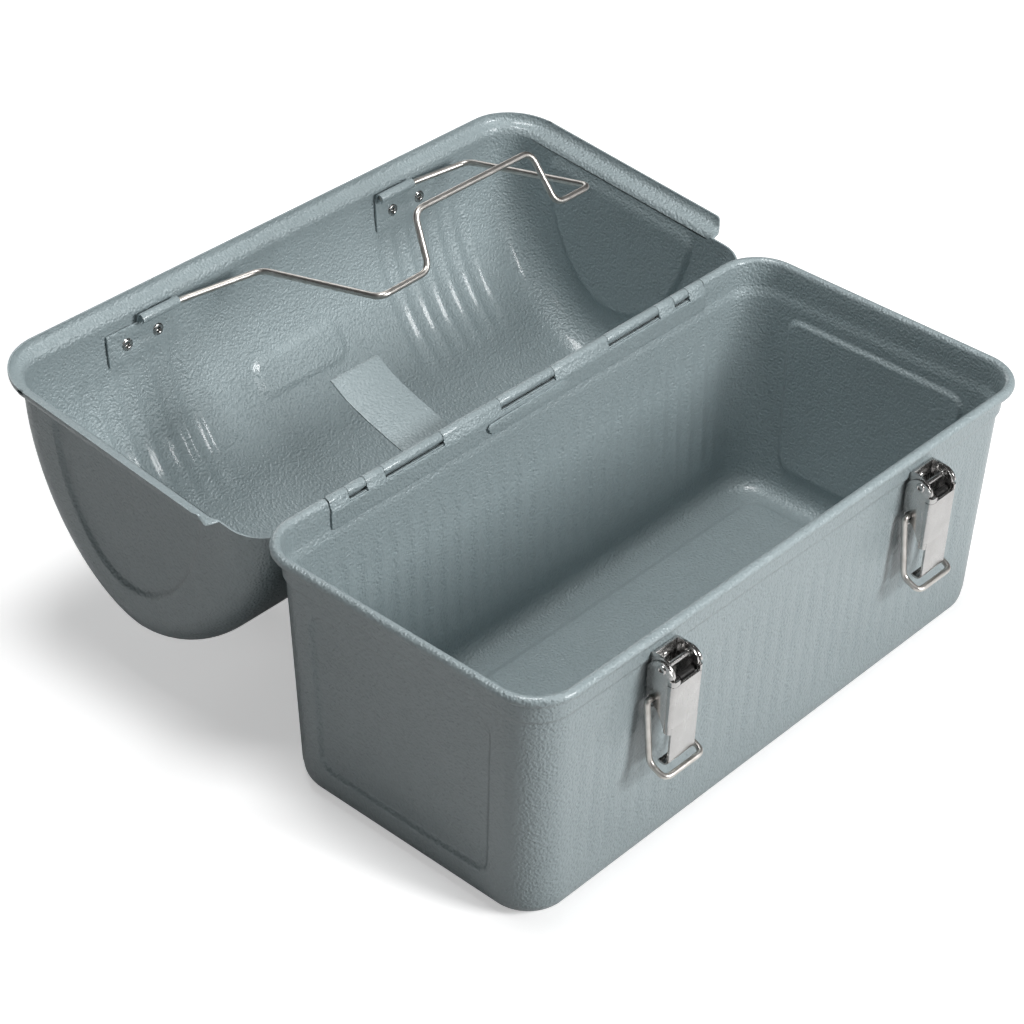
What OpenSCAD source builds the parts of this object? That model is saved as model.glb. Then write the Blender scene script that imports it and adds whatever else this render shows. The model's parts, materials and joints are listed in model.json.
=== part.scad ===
// Domed sheet steel box with a hinged lid, two draw latches, a folding carry handle,
// and a sprung wire and a curved strap inside the lid that hold a bottle.
// +X runs along the hinge, -Y is the latch side, +Z is up.
// The origin is the centre of the base's underside. The lid is drawn wide open.

/* [Base] */
// Length over the rolled rim
rim_l = 318; // [312:1:322]
// Depth over the rolled rim
rim_w = 155.4; // [154:0.2:157]
// Height of the rim's top edge
base_h = 120.5; // [119:0.5:124]
// Corner radius of the rim
rim_r = 22; // [18:1:26]
// Radius of the rolled edge
bead_r = 2.3; // [2:0.1:2.5]
// Distance from the rim's outer edge in to the wall
rim_inset = 4.06; // [3.8:0.02:4.4]
// How far the walls lean in from rim to floor
draft = 3.6; // [2:0.2:4.6]
// Radius of the fillet between walls and floor
floor_fillet = 8.6; // [6:0.2:11]
// Corner radius of the walls at the floor
floor_r = 19.5; // [16:0.5:22]
// Height where the wall steps out below the rim
step_z = 105.4; // [103:0.2:107]
// Depth of that step
step_d = 0.9; // [0.5:0.1:1.2]
// Thickness of the sheet steel
sheet = 0.8; // [0.7:0.1:1]
// Spacing of the upright ribs in the long walls
rib_pitch = 9.5; // [9:0.1:10]
// Number of ribs in each long wall
rib_count = 24; // [16:2:24]
// Depth of a rib
rib_d = 0.9; // [0.4:0.1:1.2]

/* [Lid] */
// Angle from closed to wide open
lid_open = 174.6; // [165:0.2:175]
// Length over the lid's flange
flange_l = 328; // [326:1:332]
// Distance from the centre to the flange's front edge
flange_front = 83; // [82.6:0.2:85]
// Corner radius of the flange
flange_r = 27; // [24:1:30]
// Height of the flange's lower edge when closed
flange_z = 115.8; // [115:0.2:117]
// Length over the dome's two end panels
dome_l = 310; // [308:1:312]
// Distance from the centre to the dome's front wall
dome_front = 77.6; // [77:0.1:78]
// Rise of the dome above the rim
dome_rise = 97.9; // [90:0.1:100]
// Distance of the crown line behind the centre
crown_y = 2; // [0:0.5:4]
// Fullness of the dome's front half
front_power = 1.84; // [1.7:0.01:2]
// Fullness of the dome's rear half
rear_power = 1.77; // [1.7:0.01:2]
// Radius between the dome and its end panels
end_r = 17; // [12:1:19]

/* [Hinge] */
// Distance from the centre back to the hinge axis
hinge_y = 75.2; // [75:0.1:75.6]
// Height of the hinge axis
hinge_z = 118.4; // [118:0.1:118.8]
// Outer radius of a knuckle
knuckle_r = 2.3; // [2.1:0.1:2.4]
// Radius of the hinge pin
pin_r = 1; // [0.8:0.1:1.2]
// Radial play of the lid's knuckles on the pin
pin_play = 0.05; // [0.02:0.01:0.1]

/* [Latches] */
// Distance of each latch from the centre
latch_x = 83.1; // [78:0.1:88]
// Width of the latch bracket
bracket_w = 15.2; // [14:0.2:17]
// Thickness of the latch's sheet
latch_t = 1; // [0.8:0.1:1.2]
// Distance out to the lever's pivot
pivot_y = 80.2; // [80:0.1:81]
// Height of the lever's pivot
pivot_z = 104.8; // [104:0.1:105.5]
// Distance out to the bail's pivot
bail_y = 75.9; // [75.6:0.1:76.4]
// Height of the bail's pivot
bail_z = 88.5; // [88:0.1:89.5]
// Radius of the bail's wire
bail_r = 1.25; // [1:0.05:1.4]

/* [Bottle wire] */
// Radius of the bottle wire
wire_r = 1.5; // [1.2:0.1:1.6]
// Angle of the wire below the lid's rim plane at rest
wire_angle = 20; // [10:1:30]
// Distance of each wire clip's centre from the middle
clip_x = 82.2; // [80:0.1:84]

/* [Handle] */
// Distance from the handle's pivot to the grip's centre line
handle_reach = 34; // [30:1:40]
// Distance of each handle bracket from the middle
handle_x = 46; // [42:1:55]
// Radius of the handle's rod
handle_r = 3; // [2.5:0.5:4]
// Outer radius of the grip
grip_r = 6; // [5:0.5:7]

/* [Hidden] */

$fn = 32;
paint = [0.56, 0.62, 0.65];
nickel = [0.8, 0.8, 0.78];
steel = [0.72, 0.71, 0.69];
dark_steel = [0.16, 0.16, 0.17];
grip_black = [0.08, 0.08, 0.09];

// Number of flat steps round a quarter turn of a corner
corner_steps = 6;
// Gap that keeps neighbouring knuckles and moving faces apart
gap = 0.3;
// Half of the hinge's length
hinge_half = 117.6;
// Half lengths where one knuckle ends and the next begins, lid first
knuckle_ends = [0, 17, 52, 86.2, 96.9, 107, hinge_half];

bead_z = base_h - bead_r;
rear_wall_in = rim_w / 2 - rim_inset - sheet;
front_wall_out = rim_w / 2 - rim_inset;
dome_base_z = base_h + 1;
dome_rear = hinge_y + 0.9;
lid_wall_in = dome_rear - sheet;
crown_z = dome_base_z + dome_rise - 1;

// ---------- helpers ----------

function lerp(a, b, k) = a + (b - a) * k;

function flat(lists) = [for (l = lists) for (v = l) v];

// The rings are loops of equally many points, counter-clockwise from above.
// The first loop's inside faces down and the last loop's inside faces up.
function ring_faces(n, rings) = [
    for (k = [0 : rings - 2])
        for (i = [0 : n - 1])
            for (f = [
                [k * n + i, (k + 1) * n + (i + 1) % n, k * n + (i + 1) % n],
                [k * n + i, (k + 1) * n + i, (k + 1) * n + (i + 1) % n]
            ])
                f
];

function unit(v) = v / norm(v);

function reversed(l) = [for (i = [len(l) - 1 : -1 : 0]) l[i]];

// A line of points with each inner corner rounded in steps over a length near reach
function rounded(line, reach, steps) = concat(
    [line[0]],
    [for (i = [1 : len(line) - 2])
        let (p = line[i],
             t = min(reach, 0.45 * norm(line[i - 1] - p), 0.45 * norm(line[i + 1] - p)),
             a = p + t * unit(line[i - 1] - p),
             c = p + t * unit(line[i + 1] - p))
        for (j = [0 : steps])
            let (k = j / steps)
            (1 - k) * (1 - k) * a + 2 * k * (1 - k) * p + k * k * c],
    [line[len(line) - 1]]
);

// Sideways vectors along a line, each the last one carried on without twist
function carried(dirs, side, i = 0) =
    let (s = unit(side - (side * dirs[i]) * dirs[i]))
    i == len(dirs) - 1 ? [s] : concat([s], carried(dirs, s, i + 1));

// A round tube of the given number of sides along a line of points.
module tube(line, r, sides, side) {
    last = len(line) - 1;
    dirs = [for (i = [0 : last]) unit(line[min(i + 1, last)] - line[max(i - 1, 0)])];
    across = carried(dirs, side);
    rings = [
        for (i = [0 : last])
            let (up = cross(dirs[i], across[i]))
            [for (j = [0 : sides - 1])
                line[i] + r * (cos(j * 360 / sides) * across[i] + sin(j * 360 / sides) * up)]
    ];
    polyhedron(
        flat(rings),
        concat(
            ring_faces(sides, len(rings)),
            [[for (j = [0 : sides - 1]) j]],
            [[for (j = [sides - 1 : -1 : 0]) last * sides + j]]
        ),
        convexity = 10
    );
}

// A cylinder along +X that starts at x = from and ends at x = to.
module x_cylinder(from, to, r) {
    translate([from, 0, 0])
        rotate([0, 90, 0])
            cylinder(h = to - from, r = r);
}

// A cylinder along +Y that starts at y = from and ends at y = to.
module y_cylinder(from, to, r) {
    translate([0, from, 0])
        rotate([-90, 0, 0])
            cylinder(h = to - from, r = r);
}

// Unit vector square to a line of points at point i, to its left
function left_of(line, i) =
    let (a = line[max(i - 1, 0)], b = line[min(i + 1, len(line) - 1)], d = (b - a) / norm(b - a))
    [-d[1], d[0]];

// Outline of a strip of thickness t whose middle follows a line of points
function strip(line, t) = concat(
    [for (i = [0 : len(line) - 1]) line[i] + left_of(line, i) * t / 2],
    [for (i = [len(line) - 1 : -1 : 0]) line[i] - left_of(line, i) * t / 2]
);

// A plate of the given outline in Y and Z, from x = from to x = to.
module side_plate(from, to, outline) {
    translate([from, 0, 0])
        rotate([90, 0, 90])
            linear_extrude(to - from)
                polygon(outline);
}

// Turns what is drawn for the closed lid to its open place.
module opened() {
    translate([0, hinge_y, hinge_z])
        rotate([-lid_open, 0, 0])
            translate([0, -hinge_y, -hinge_z])
                children();
}

// ---------- base tub ----------

// One stop on the way round the base: side of x, side of y, corner angle, fixed x or undef.
rib_xs = [for (j = [0 : 2 * rib_count]) (j - rib_count) * rib_pitch / 2];
// X places on the rear wall just outside and just inside the hinge
gap_xs = [hinge_half + 0.5, hinge_half + 0.1];

function corner_stops(sx, sy, start) = [
    for (i = [0 : corner_steps]) [sx, sy, start + i * 90 / corner_steps, undef]
];

tub_stops = concat(
    corner_stops(1, 1, 0),
    [for (x = gap_xs) [1, 1, 90, x]],
    [for (j = [2 * rib_count : -1 : 0]) [0, 1, 90, rib_xs[j]]],
    [for (x = [-gap_xs[1], -gap_xs[0]]) [-1, 1, 90, x]],
    corner_stops(-1, 1, 90),
    corner_stops(-1, -1, 180),
    [for (x = rib_xs) [0, -1, 270, x]],
    corner_stops(1, -1, 270)
);

// Whether a stop lies on the rear edge that the hinge takes the place of
function in_hinge(s) = s[1] > 0 && !is_undef(s[3]) && abs(s[3]) < hinge_half + 0.3;

// How far a rib moves the wall outward at a stop, as a share of the rib's depth
function rib_share(s) =
    is_undef(s[3]) || abs(s[3]) > hinge_half ? 0
    : round(s[3] / (rib_pitch / 2)) % 2 == 0 ? 0.5 : -0.5;

// A point of the base: inset from the rim's outer edge, corner radius, height, rib share
function tub_point(s, inset, r, z, rib) =
    let (hx = rim_l / 2 - inset, hy = rim_w / 2 - inset)
    is_undef(s[3])
        ? [s[0] * (hx - r) + r * cos(s[2]), s[1] * (hy - r) + r * sin(s[2]), z]
        : [s[3], s[1] * (hy + rib * rib_d * rib_share(s)), z];

// Inset of the wall's outer face at a height
function wall_inset(z) =
    rim_inset + draft * (1 - z / base_h) + (z < step_z ? step_d : 0);

function wall_corner(z) = lerp(floor_r, rim_r - rim_inset, z / base_h);

// The pressed floor panel: distance inside the fillet, depth and corner radius
panel_margin = 14;
panel_drop = 1.2;
panel_r = 6;
fillet_angles = [0, 30, 60, 90];
// Heights of the wall's rings with each ring's share of rib
wall_rings = [[16, 0], [24, 1], [94, 1], [101, 0], [step_z - 0.6, 0], [step_z + 0.6, 0]];

function panel_ring(extra, lift) = [
    for (s = tub_stops)
        tub_point(s, wall_inset(0) + floor_fillet + panel_margin + extra, panel_r, lift, 0)
];

function tub_outer() = concat(
    [panel_ring(2, 0), panel_ring(0, panel_drop)],
    [for (a = fillet_angles) [
        for (s = tub_stops)
            tub_point(s, wall_inset(0) + floor_fillet * (1 - sin(a)),
                      lerp(floor_r - floor_fillet, floor_r, sin(a)),
                      panel_drop + floor_fillet * (1 - cos(a)), 0)
    ]],
    [for (w = wall_rings) [
        for (s = tub_stops)
            tub_point(s, wall_inset(w[0]), wall_corner(w[0]), w[0], w[1])
    ]]
);

// The rolled edge: from the wall's outer face round under, outside and over to the inside
roll_start = -acos(-(rim_inset - bead_r) / bead_r);
roll_steps = 7;
hinge_edge_z = 115.6;

function roll_ring(j) = [
    for (s = tub_stops)
        let (a = lerp(roll_start, 180, j / roll_steps))
        in_hinge(s)
            ? tub_point(s, rim_inset + sheet * j / roll_steps, rim_r, hinge_edge_z, 0)
            : tub_point(s, bead_r - bead_r * cos(a), rim_r - bead_r + bead_r * cos(a),
                        bead_z + bead_r * sin(a), 0)
];

function tub_inner() = concat(
    [for (i = [len(wall_rings) - 1 : -1 : 0]) let (w = wall_rings[i]) [
        for (s = tub_stops)
            tub_point(s, wall_inset(w[0]) + sheet, wall_corner(w[0]) - sheet, w[0], w[1])
    ]],
    [for (i = [len(fillet_angles) - 1 : -1 : 0]) let (a = fillet_angles[i]) [
        for (s = tub_stops)
            tub_point(s, wall_inset(0) + floor_fillet - (floor_fillet - sheet) * sin(a),
                      lerp(floor_r - floor_fillet, floor_r - sheet, sin(a)),
                      panel_drop + floor_fillet - (floor_fillet - sheet) * cos(a), 0)
    ]],
    [panel_ring(0, panel_drop + sheet), panel_ring(2, sheet)]
);

module base_tub() {
    rings = concat(tub_outer(), [for (j = [0 : roll_steps]) roll_ring(j)], tub_inner());
    n = len(tub_stops);
    count = len(rings);
    points = concat(flat(rings), [[0, 0, 0], [0, 0, sheet]]);
    last = (count - 1) * n;
    color(paint)
        polyhedron(
            points,
            concat(
                ring_faces(n, count),
                [for (i = [0 : n - 1]) [count * n, i, (i + 1) % n]],
                [for (i = [0 : n - 1]) [count * n + 1, last + (i + 1) % n, last + i]]
            ),
            convexity = 10
        );
}

// ---------- hinge ----------

// Draws one knuckle range on both sides of the middle, k counting out from the middle.
module knuckle_pair(k, r) {
    for (side = [-1, 1])
        scale_side(side)
            x_cylinder(knuckle_ends[k] + gap / 2, knuckle_ends[k + 1] - gap / 2, r);
}

// Mirrors to the left for side -1 and leaves side 1 as it is.
module scale_side(side) {
    if (side < 0)
        mirror([1, 0, 0])
            children();
    else
        children();
}

// A block on both sides of the middle under one knuckle range.
module knuckle_web(k, y, z, w, h) {
    for (side = [-1, 1])
        scale_side(side)
            translate([knuckle_ends[k] + gap / 2, y, z])
                cube([knuckle_ends[k + 1] - knuckle_ends[k] - gap, w, h]);
}

base_knuckles = [1, 3, 5];
lid_knuckles = [2, 4];
leaf_t = 0.8;
base_leaf_z = 108;
tongue_x = [-24, 22];

module base_hinge_leaf() {
    leaf_y = rear_wall_in - leaf_t - 0.45;
    color(paint)
        difference() {
            union() {
                translate([-hinge_half, leaf_y, base_leaf_z])
                    cube([2 * hinge_half, leaf_t, hinge_z - 2.6 - base_leaf_z]);
                translate([tongue_x[0], leaf_y - 1.1, base_leaf_z - 2.5])
                    cube([tongue_x[1] - tongue_x[0], 1.2, 4.5]);
                for (k = base_knuckles) {
                    knuckle_web(k, leaf_y, hinge_z - 2.7, hinge_y - leaf_y - 1.2, 2.7);
                    translate([0, hinge_y, hinge_z])
                        knuckle_pair(k, knuckle_r);
                }
            }
            translate([0, hinge_y, hinge_z])
                x_cylinder(-hinge_half - 1, hinge_half + 1, pin_r);
        }
}

module hinge_pin() {
    color(steel)
        translate([0, hinge_y, hinge_z])
            x_cylinder(-hinge_half, hinge_half, pin_r);
}

lid_leaf_z = hinge_z + knuckle_r + 0.5;
lid_leaf_h = 7;
lid_leaf_y = lid_wall_in - leaf_t - 0.5;

module lid_hinge_leaf() {
    color(paint)
        opened()
            difference() {
                union() {
                    translate([-hinge_half, lid_leaf_y, lid_leaf_z])
                        cube([2 * hinge_half, leaf_t, lid_leaf_h]);
                    translate([-knuckle_ends[1] + gap / 2, lid_leaf_y, hinge_z + 1.2])
                        cube([2 * knuckle_ends[1] - gap, leaf_t, lid_leaf_z - hinge_z - 1]);
                    translate([0, hinge_y, hinge_z])
                        x_cylinder(-knuckle_ends[1] + gap / 2, knuckle_ends[1] - gap / 2, knuckle_r);
                    for (k = lid_knuckles) {
                        knuckle_web(k, lid_leaf_y, hinge_z + 1.2, leaf_t, lid_leaf_z - hinge_z - 1);
                        translate([0, hinge_y, hinge_z])
                            knuckle_pair(k, knuckle_r);
                    }
                }
                translate([0, hinge_y, hinge_z])
                    x_cylinder(-hinge_half - 1, hinge_half + 1, pin_r + pin_play);
            }
}

// ---------- latches ----------

bracket_back = front_wall_out + 0.1;
bracket_top = pivot_z + 4.2;
bracket_foot = 82;
latch_rivet_zs = [bracket_top - 6, bracket_foot + 5];
latch_rivet_r = 1.6;
axle_y = 83;
axle_z = 98.6;
axle_r = 0.9;

// Side cheek of the bracket, as points of distance out from the wall side and height
cheek = [
    [-bracket_back, bracket_top], [-bracket_back, bracket_foot + 4],
    [-bracket_back - 2.5, bracket_foot + 4], [-84.6, 95], [-85.3, 98.6],
    [-84.9, 102.4], [-83, 105.8], [-79.5, bracket_top - 0.8], [-77, bracket_top]
];

module latch_bracket(x) {
    color(nickel)
        translate([x, 0, 0])
            difference() {
                union() {
                    translate([-bracket_w / 2, -bracket_back - latch_t, bracket_foot])
                        cube([bracket_w, latch_t, bracket_top - bracket_foot]);
                    for (side = [-1, 1])
                        scale_side(side)
                            side_plate(bracket_w / 2 - latch_t, bracket_w / 2, cheek);
                }
                translate([0, -pivot_y, pivot_z])
                    x_cylinder(-bracket_w, bracket_w, pivot_pin_r);
                translate([0, -axle_y, axle_z])
                    x_cylinder(-bracket_w, bracket_w, axle_r);
                for (z = latch_rivet_zs)
                    translate([0, 0, z])
                        y_cylinder(-bracket_back - 2 * latch_t, -bracket_back + latch_t, latch_rivet_r);
            }
}

// Two solid rivets hold each bracket through the front wall.
module latch_bracket_rivets(x) {
    head_r = 2.9;
    color(nickel)
        for (z = latch_rivet_zs)
            translate([x, 0, z]) {
                wall_y = -rim_w / 2 + wall_inset(z) + sheet;
                y_cylinder(-bracket_back - latch_t - 0.7, -bracket_back - latch_t, head_r);
                y_cylinder(-bracket_back - latch_t, wall_y + 0.1, latch_rivet_r);
                y_cylinder(wall_y, wall_y + 0.8, head_r);
            }
}

pivot_pin_r = 1.7;
pin_hole_r = 0.9;
ear_gap = 0.3;
ear_in = bracket_w / 2 + ear_gap;
ear_out = ear_in + latch_t;
plate_top = 101.6;
plate_foot = 60.4;
plate_y = 86.6;
// The lever's front plate leans in by this much from top to foot
plate_lean = 1.3;
ear_arc_y = 79.5;
ear_arc_z = 101.2;
ear_arc_r = 6.5;

// Outline of an ear: round top, straight front down to the step, rear edge back up
ear = concat(
    [for (a = [0 : 15 : 150]) [-ear_arc_y + ear_arc_r * cos(a), ear_arc_z + ear_arc_r * sin(a)]],
    [[-plate_y + 0.1, 99.5], [-plate_y + 0.9, 75], [-83.6, 74.4], [-79, 83.6],
     [-77.6, 85.2], [-74.9, 85.2], [-73.1, 87.6], [-72.95, 95]]
);

module latch_lever(x) {
    lip_r = 1.6;
    color(nickel)
        translate([x, 0, 0])
            difference() {
                union() {
                    for (side = [-1, 1])
                        scale_side(side)
                            side_plate(ear_in, ear_out, ear);
                    side_plate(-ear_out, ear_out, [
                        [-plate_y, plate_top], [-plate_y + plate_lean, plate_foot],
                        [-plate_y + plate_lean + latch_t, plate_foot],
                        [-plate_y + latch_t, plate_top]
                    ]);
                    side_plate(-ear_out, ear_out, [
                        [-plate_y + plate_lean, plate_foot + 0.1],
                        [-plate_y + plate_lean + 1.2, plate_foot - lip_r],
                        [-plate_y + plate_lean + 4.4, plate_foot - 1],
                        [-plate_y + plate_lean + 4.6, plate_foot - 0.2],
                        [-plate_y + plate_lean + latch_t, plate_foot + 0.1]
                    ]);
                }
                // Lowered middle of the plate's top edge, which clears the spring
                translate([-ear_out + 3.2, -plate_y - 1, plate_top - 2.6])
                    cube([2 * ear_out - 5.4, 2 * latch_t + 1, 4]);
                translate([0, -pivot_y, pivot_z])
                    x_cylinder(-ear_out - 1, ear_out + 1, pivot_pin_r + 0.06);
                translate([0, -bail_y, bail_z])
                    x_cylinder(-ear_out - 1, ear_out + 1, bail_r + 0.08);
            }
}

// Hollow rivet that the lever turns on.
module latch_pivot_pin(x) {
    color(nickel)
        translate([x, -pivot_y, pivot_z])
            difference() {
                union() {
                    x_cylinder(-ear_out - 0.3, ear_out + 0.3, pivot_pin_r);
                    x_cylinder(-ear_out - 0.85, -ear_out - 0.25, pivot_pin_r + 0.5);
                    x_cylinder(ear_out + 0.25, ear_out + 0.85, pivot_pin_r + 0.5);
                }
                x_cylinder(-ear_out - 2, -ear_out + 3, pin_hole_r);
                x_cylinder(ear_out - 3, ear_out + 2, pin_hole_r);
            }
}

module latch_spring_axle(x) {
    color(dark_steel)
        translate([x, -axle_y, axle_z])
            x_cylinder(-bracket_w / 2, bracket_w / 2, axle_r);
}

bush_from = -2.5;
bush_to = 5.6;
bush_r = 1.7;

module latch_spring_bush(x) {
    color(dark_steel)
        translate([x, -axle_y, axle_z])
            difference() {
                x_cylinder(bush_from, bush_to, bush_r);
                x_cylinder(bush_from - 1, bush_to + 1, axle_r);
            }
}

spring_wire_r = 0.35;
spring_turns = 3;

// Torsion spring: close turns drawn as rings, and a leg up the bracket's back.
module latch_spring(x) {
    turn_r = axle_r + 0.1 + spring_wire_r;
    color(dark_steel)
        translate([x, -axle_y, axle_z]) {
            for (i = [0 : spring_turns - 1])
                translate([-5.7 + i * 2.2 * spring_wire_r, 0, 0])
                    rotate([0, 90, 0])
                        rotate_extrude()
                            translate([turn_r, 0])
                                circle(r = spring_wire_r * 1.15, $fn = 16);
            translate([-5.7, 0, turn_r])
                rotate([-90, 0, 0])
                    cylinder(h = axle_y - bracket_back - latch_t - 0.3, r = spring_wire_r);
        }
}

bail_half = ear_out + 2.55;
// Where each leg of the bail bends outward, and where the crossbar lies
bail_bend = [-78.7, 59.3];
bail_foot = [-87, 56];

module latch_bail(x) {
    path = [
        [ear_out + 0.6, -bail_y, bail_z], [bail_half, -bail_y, bail_z],
        [bail_half, bail_bend[0], bail_bend[1]], [bail_half, bail_foot[0], bail_foot[1]]
    ];
    color(steel)
        translate([x, 0, 0]) {
            tube(
                rounded(concat([for (p = path) [-p[0], p[1], p[2]]], reversed(path)), 2.6, 4),
                bail_r, 12, [0, 0, 1]
            );
            for (side = [-1, 1])
                scale_side(side)
                    translate([0, -bail_y, bail_z])
                        x_cylinder(ear_in, ear_out + 0.8, bail_r);
        }
}

// ---------- lid shell ----------

// Point of the dome's outline at t degrees from rim to crown: side -1 front, 1 rear
function outline_point(side, t) =
    let (p = side < 0 ? front_power : rear_power,
         reach = side < 0 ? dome_front + crown_y : dome_rear - crown_y)
    [crown_y + side * reach * pow(cos(t), 2 / p), dome_base_z + (dome_rise - 1) * pow(sin(t), 2 / p)];

// Unit vector that points from the outline into the dome
function outline_in(side, t) =
    t < 1 ? [-side, 0]
    : t > 89 ? [0, -1]
    : let (d = outline_point(side, t + 0.5) - outline_point(side, t - 0.5))
      side * [-d[1], d[0]] / norm(d);

wall_half = dome_l / 2 - end_r;
lid_rib_xs = [for (j = [0 : 12]) 58 + j * 5.2];
lid_rib_d = 0.8;
// Shares of the way across an end panel where the flange's skirt, then the flange, stops
flange_stop = [0.87, 0.9, 0.94];

// One stop round the lid: side of x, side of y, corner angle or undef, x or share of the end
function lid_corner(sx, sy, angles) = [for (a = angles) [sx, sy, a, undef]];
function lid_side(sy, xs) = [for (x = xs) [0, sy, undef, x]];

quarter = [for (i = [0 : corner_steps]) i * 90 / corner_steps];
side_xs = concat(-1 * reversed(lid_rib_xs), lid_rib_xs);

lid_stops = concat(
    lid_corner(1, 1, reversed(quarter)), lid_side(1, reversed(side_xs)),
    lid_corner(-1, 1, quarter), [for (share = reversed(flange_stop)) [-1, 0, undef, share]],
    lid_corner(-1, -1, reversed(quarter)), lid_side(-1, side_xs),
    lid_corner(1, -1, quarter), [for (share = flange_stop) [1, 0, undef, share]]
);

function is_end(s) = s[1] == 0;
function is_corner(s) = !is_undef(s[2]);

// Share of the rib depth at a stop and an outline angle
function lid_rib(s, t) =
    is_corner(s) || is_end(s) || s[1] > 0 || t < 22 || t > 62 ? 0
    : round((abs(s[3]) - 58) / 5.2) % 2 == 0 ? 0 : 1;

// A point of the dome, inset by a depth from its outer face
function dome_point(s, t, depth) =
    is_end(s)
        ? let (f = outline_point(-1, t) + end_r * outline_in(-1, t),
               b = outline_point(1, t) + end_r * outline_in(1, t),
               m = lerp(f, b, s[3]))
          [s[0] * (dome_l / 2 - depth), m[0], m[1]]
    : is_corner(s)
        ? let (m = outline_point(s[1], t)
                   + outline_in(s[1], t) * (end_r - (end_r - depth) * cos(s[2])))
          [s[0] * (wall_half + (end_r - depth) * sin(s[2])), m[0], m[1]]
    : let (m = outline_point(s[1], t)
               + outline_in(s[1], t) * (depth + lid_rib(s, t) * lid_rib_d))
      [s[3], m[0], m[1]];

// Share of the flange at a stop: none on the rear wall and the rear corners
function flange_share(s) =
    is_end(s) ? (s[3] > flange_stop[1] ? 0 : 1)
    : s[1] > 0 ? 0 : 1;

// Where the flange's outline lies at a stop, inset by a depth
function flange_xy(s, depth) =
    is_end(s) ? [s[0] * (flange_l / 2 - depth), dome_point(s, 0, depth)[1]]
    : is_corner(s)
        ? [s[0] * (flange_l / 2 - flange_r + (flange_r - depth) * sin(s[2])),
           s[1] * (flange_front - flange_r + (flange_r - depth) * cos(s[2]))]
    : [s[3], s[1] * (flange_front - depth)];

// Rings of the flange from the wall out and down: share outward, height
flange_rings = [[0, 0.3], [0.2, 0.1], [0.65, -0.7], [0.9, -2], [1, -4.1]];

function flange_ring(w, z, depth) = [
    for (s = lid_stops)
        let (share = w * flange_share(s), wall = dome_point(s, 0, depth), edge = flange_xy(s, depth))
        [lerp(wall[0], edge[0], share), lerp(wall[1], edge[1], share), z]
];

// Whether the flange has its full height at a stop
function has_skirt(s) = flange_share(s) > 0 && !(is_end(s) && s[3] > flange_stop[0]);

// Heights of the flange's rings at the other stops shrink to a plain edge.
function plain_edge(ring, z_edge) = [
    for (i = [0 : len(lid_stops) - 1])
        has_skirt(lid_stops[i]) ? ring[i] : [ring[i][0], ring[i][1], z_edge]
];

dome_angles = [84, 78, 70, 61, 52, 43, 34, 25, 19, 13, 8, 3.5];
edge_rise = 0.05;

module lid_shell() {
    n = len(lid_stops);
    m = len(flange_rings);
    rings = concat(
        [for (t = dome_angles) [for (s = lid_stops) dome_point(s, t, 0)]],
        [for (i = [0 : m - 1])
            plain_edge(flange_ring(flange_rings[i][0], dome_base_z + flange_rings[i][1], 0),
                       dome_base_z + edge_rise * (m - i))],
        [plain_edge(flange_ring(1, flange_z, 0), dome_base_z)],
        [plain_edge(flange_ring(1, flange_z, sheet), dome_base_z)],
        [for (i = [m - 1 : -1 : 0])
            plain_edge(flange_ring(flange_rings[i][0], dome_base_z + flange_rings[i][1] - sheet, sheet),
                       dome_base_z + edge_rise * (m - i))],
        [for (t = reversed(dome_angles)) [for (s = lid_stops) dome_point(s, t, sheet)]]
    );
    count = len(rings);
    // Stops of the front side run opposite to those of the rear side they face.
    half = len(quarter) * 2 + len(side_xs);
    ends = len(flange_stop);
    front = half + ends;
    last = (count - 1) * n;
    // The crown's two ends take in the stops that lie along the end panels.
    end_loops = [
        [for (i = [half - 2 : front + 1]) i],
        concat([1, front + half - 2, front + half - 1], [for (i = [n - ends : n - 1]) i], [0])
    ];
    color(paint)
        opened()
            polyhedron(
                flat(rings),
                concat(
                    [for (f = ring_faces(n, count)) turned(f, true)],
                    [for (shift = [0, last]) for (i = [1 : half - 3])
                        for (f = fan([i, i + 1, front + half - 2 - i, front + half - 1 - i]))
                            turned(shift * [1, 1, 1] + f, shift == 0)],
                    [for (shift = [0, last]) for (loop = end_loops)
                        for (f = fan(loop))
                            turned(shift * [1, 1, 1] + f, shift == 0)]
                ),
                convexity = 10
            );
}

function turned(f, flip) = flip ? [f[0], f[2], f[1]] : f;

// Triangles that fill a loop of points, spread from the loop's first point
function fan(loop) = [for (i = [1 : len(loop) - 2]) [loop[0], loop[i], loop[i + 1]]];

// ---------- fittings inside the lid ----------

strap_x = [-63.5, -35.5];
strap_t = 0.8;
strap_foot_y = lid_leaf_y - 0.1;
strap_mid_y = strap_foot_y - strap_t / 2;
// Middle line of the strap from its riveted foot out to its free tip
strap_line = [
    [strap_mid_y, 134], [strap_mid_y, 129.2], [strap_mid_y - 0.8, 127.6], [strap_mid_y - 2.4, 126.9],
    [64, 125.8], [54, 124], [42, 121.7], [32, 118.8], [26.5, 116.2], [22.6, 114.9]
];

module bottle_strap() {
    color(paint)
        opened()
            difference() {
                side_plate(strap_x[0], strap_x[1], strip(strap_line, strap_t));
                for (x = strap_rivet_xs)
                    translate([x, 0, strap_rivet_z])
                        y_cylinder(strap_foot_y - 3, strap_foot_y + 3, strap_rivet_r);
            }
}

strap_rivet_xs = [strap_x[0] + 7, strap_x[1] - 7];
strap_rivet_z = 131.6;
// Outer face of the lid's rear wall behind those rivets
strap_wall_y = 75.2;
strap_rivet_r = 1.2;

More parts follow.
